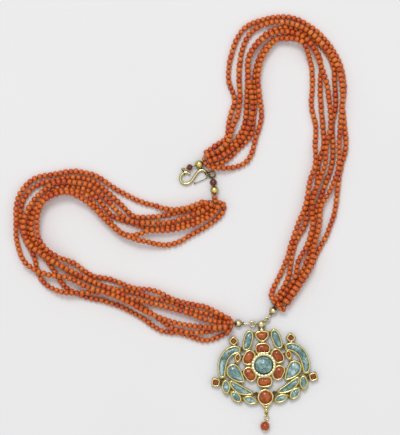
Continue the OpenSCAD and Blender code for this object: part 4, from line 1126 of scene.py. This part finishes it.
def stones():
    for i, plan in enumerate(PETALS):
        stone(f"petal_stone_{i + 1}", [plan], CARNELIAN)
    stone("crown_stone", [CROWN_PLAN], CARNELIAN)
    stone("drop_stone", [DROP_PLAN], CARNELIAN, dome_rings(DROP_TOP))
    for side, flip in (("right", False), ("left", True)):
        for name, plan, material, slot in SIDE_STONES:
            stone(f"{name}_{side}", [mirrored(plan) if flip else plan], material)
        stone(f"leaf_stones_{side}", [mirrored(p) if flip else p for p in LEAF_PLANS], AQUA)
        for name, rows in BAND_STONES:
            mesh = Mesh()
            mesh.add(*domed_band(rows, flip))
            mesh.piece(f"{name}_{side}_polished", [AQUA], [f"{name}_{side}"])
    squares = CORNER_PLANS + [mirrored(p) for p in CORNER_PLANS]
    stone("corner_stones", squares, GARNET, CORNER_RINGS, smooth=False)
    circle = [[CENTRE_R * math.cos(a), CENTRE_R * math.sin(a)] for a in full_turn(CENTRE_SIDES)]
    stone("centre_stone", [circle], AQUA, centre_rings())


def offset_out(outline, distance):
    """Closed outline moved outwards along its normals, and evened out."""
    p = np.array(outline)
    way = np.roll(p, -1, axis=0) - np.roll(p, 1, axis=0)
    way /= np.linalg.norm(way, axis=1)[:, None]
    out = np.column_stack([way[:, 1], -way[:, 0]])
    after = np.roll(p, -1, axis=0)
    area = np.sum(p[:, 0] * after[:, 1] - p[:, 1] * after[:, 0])
    moved = p + out * distance * (1 if area > 0 else -1)
    for _ in range(RIM_EVENED):
        moved = (np.roll(moved, 1, axis=0) + 2 * moved + np.roll(moved, -1, axis=0)) / 4
    return moved


def rim(outline):
    """Vertices and faces of a gold edge round an outline."""
    return sweep(on_pendant(offset_out(outline, RIM_OUT), RIM_Z), RIM_R, RIM_SIDES, True, RIM_SQUARE)


def rims():
    """Gold edges burnished over every stone but the middle one."""
    whole = PETALS + [CROWN_PLAN, DROP_PLAN]
    paired = [plan for _, plan, _, _ in SIDE_STONES] + [band_outline(rows) for _, rows in BAND_STONES]
    paired += LEAF_PLANS + [softened(p, 2) for p in CORNER_PLANS]
    mesh = Mesh()
    for plan in whole + paired + [mirrored(p) for p in paired]:
        mesh.add(*rim(plan))
    mesh.piece("stone_rims", [RIM_GOLD])


def centre_bezel():
    """Scalloped collar round the middle stone."""
    n = SCALLOPS * SCALLOP_STEPS
    verts = []
    for a in full_turn(n):
        lobe = abs(math.cos(SCALLOPS * a / 2)) ** SCALLOP_FULLNESS
        out = BEZEL_OUT - NOTCH * (1 - lobe)
        middle, half = (BEZEL_IN + out) / 2, (out - BEZEL_IN) / 2
        high = BEZEL_HIGH - NOTCH * (1 - lobe)
        for turn in full_turn(BEZEL_SIDES):
            c, d = squared(turn, RIM_SQUARE)
            r = middle + half * c
            z = BEZEL_LOW + (high - BEZEL_LOW if d > 0 else BEZEL_DOWN) * d
            verts.extend(on_pendant([[r * math.cos(a), r * math.sin(a)]], z))
    mesh = Mesh()
    mesh.add(verts, rings_faces(n, BEZEL_SIDES, closed=True))
    mesh.piece("centre_bezel", [BEZEL_GOLD])


def trims():
    """Ball at the top with its collar, the tip of the lowest collet and the small pear under it."""
    mesh = Mesh()
    middle = on_pendant([[0, BALL_Y]], BALL_R)[0]
    mesh.add(*ball(middle, BALL_R, 40, 20))
    down = on_pendant([[0, 0]], 0)[0] - on_pendant([[0, 1]], 0)[0]
    mesh.add(*lathe(middle - np.array([0, 0, COLLAR_LOWER]), down, COLLAR, 24))
    mesh.add(*lathe(on_pendant([[0, DROP_STEM_Y]], DROP_STEM_Z)[0], down, PEAR, 24), slot=1)
    mesh.piece("pendant_ball", [BALL_GOLD, GOLD])
    seat = Mesh()
    outline = closed_curve(both_halves(DROP_SEAT))
    seat.add(*domed(outline, DROP_SEAT_RINGS))
    seat.add(*rim(outline), slot=1)
    seat.piece("drop_collet", [SETTING_GOLD, RIM_GOLD])


stones()
rims()
centre_bezel()
trims()

# CAD nodes that keep their shape
FINISHES = {
    "gold": GOLD, "coral": DROP_CORAL, "aqua": AQUA, "carnelian": CARNELIAN, "garnet": GARNET,
    "amber": AMBER_STONE, "silk": SILK,
}
SPECIAL_FINISHES = {
    "pendant_setting": SETTING_GOLD,
    "gather_bead_left": BALL_GOLD, "gather_bead_right": BALL_GOLD,
    "clasp_bead_left": CLASP_BALL_GOLD, "clasp_bead_right": CLASP_BALL_GOLD,
    "clasp_pin": DARK_GOLD, "eye_ring": DARK_GOLD,
}
for part in frame["record"]["subparts"]:
    finish = SPECIAL_FINISHES.get(part["node"], FINISHES[part["material_slot"]])
    frame["nodes"][part["node"]].data.materials.clear()
    frame["nodes"][part["node"]].data.materials.append(finish)


# Floor, light and camera
def floor():
    bpy.ops.mesh.primitive_plane_add(size=FLOOR_SIZE, location=(0, 0, FLOOR_Z))
    plane = bpy.context.object
    plane.name = "floor"
    plane.data.materials.append(floor_material())


def key_light():
    """Square light that faces the origin."""
    light = bpy.data.lights.new("key", "AREA")
    light.shape = "SQUARE"
    light.size = KEY_SIZE
    light.energy = KEY_WATTS
    obj = bpy.data.objects.new("key", light)
    obj.location = KEY_PLACE
    obj.rotation_euler = (-Vector(KEY_PLACE)).to_track_quat("-Z", "Y").to_euler()
    bpy.context.scene.collection.objects.link(obj)


def camera():
    """Camera straight over the middle of the photograph's frame."""
    cam = bpy.data.cameras.new("photo_camera")
    cam.sensor_width = SENSOR_W
    cam.sensor_fit = "AUTO"
    cam.lens = SENSOR_W * CAMERA_HEIGHT / (PHOTO_H * PIXEL)
    cam.clip_end = CAMERA_REACH
    obj = bpy.data.objects.new("photo_camera", cam)
    x = (PHOTO_W / 2 - PIXEL_X0) * PIXEL + SHIFT[0]
    y = (PIXEL_Y0 - PHOTO_H / 2) * PIXEL + SHIFT[1]
    obj.location = (x * MM, y * MM, CAMERA_HEIGHT * MM)
    bpy.context.scene.collection.objects.link(obj)
    bpy.context.scene.camera = obj


def studio():
    """A room that is bright overhead and darker towards the horizon."""
    world = bpy.data.worlds.new("studio")
    world.use_nodes = True
    tree = world.node_tree
    place = tree.nodes.new("ShaderNodeTexCoord")
    split = tree.nodes.new("ShaderNodeSeparateXYZ")
    ramp = tree.nodes.new("ShaderNodeValToRGB")
    while len(ramp.color_ramp.elements) < len(ROOM_GREYS):
        ramp.color_ramp.elements.new(0.5)
    for element, (at, colour) in zip(ramp.color_ramp.elements, ROOM_GREYS):
        element.position = at
        element.color = colour
    tree.links.new(place.outputs["Generated"], split.inputs[0])
    tree.links.new(split.outputs["Z"], ramp.inputs["Fac"])
    tree.links.new(ramp.outputs["Color"], tree.nodes["Background"].inputs["Color"])
    tree.nodes["Background"].inputs["Strength"].default_value = ROOM_LIGHT
    bpy.context.scene.world = world


bpy.context.scene.view_settings.view_transform = "Standard"
floor()
studio()
key_light()
camera()
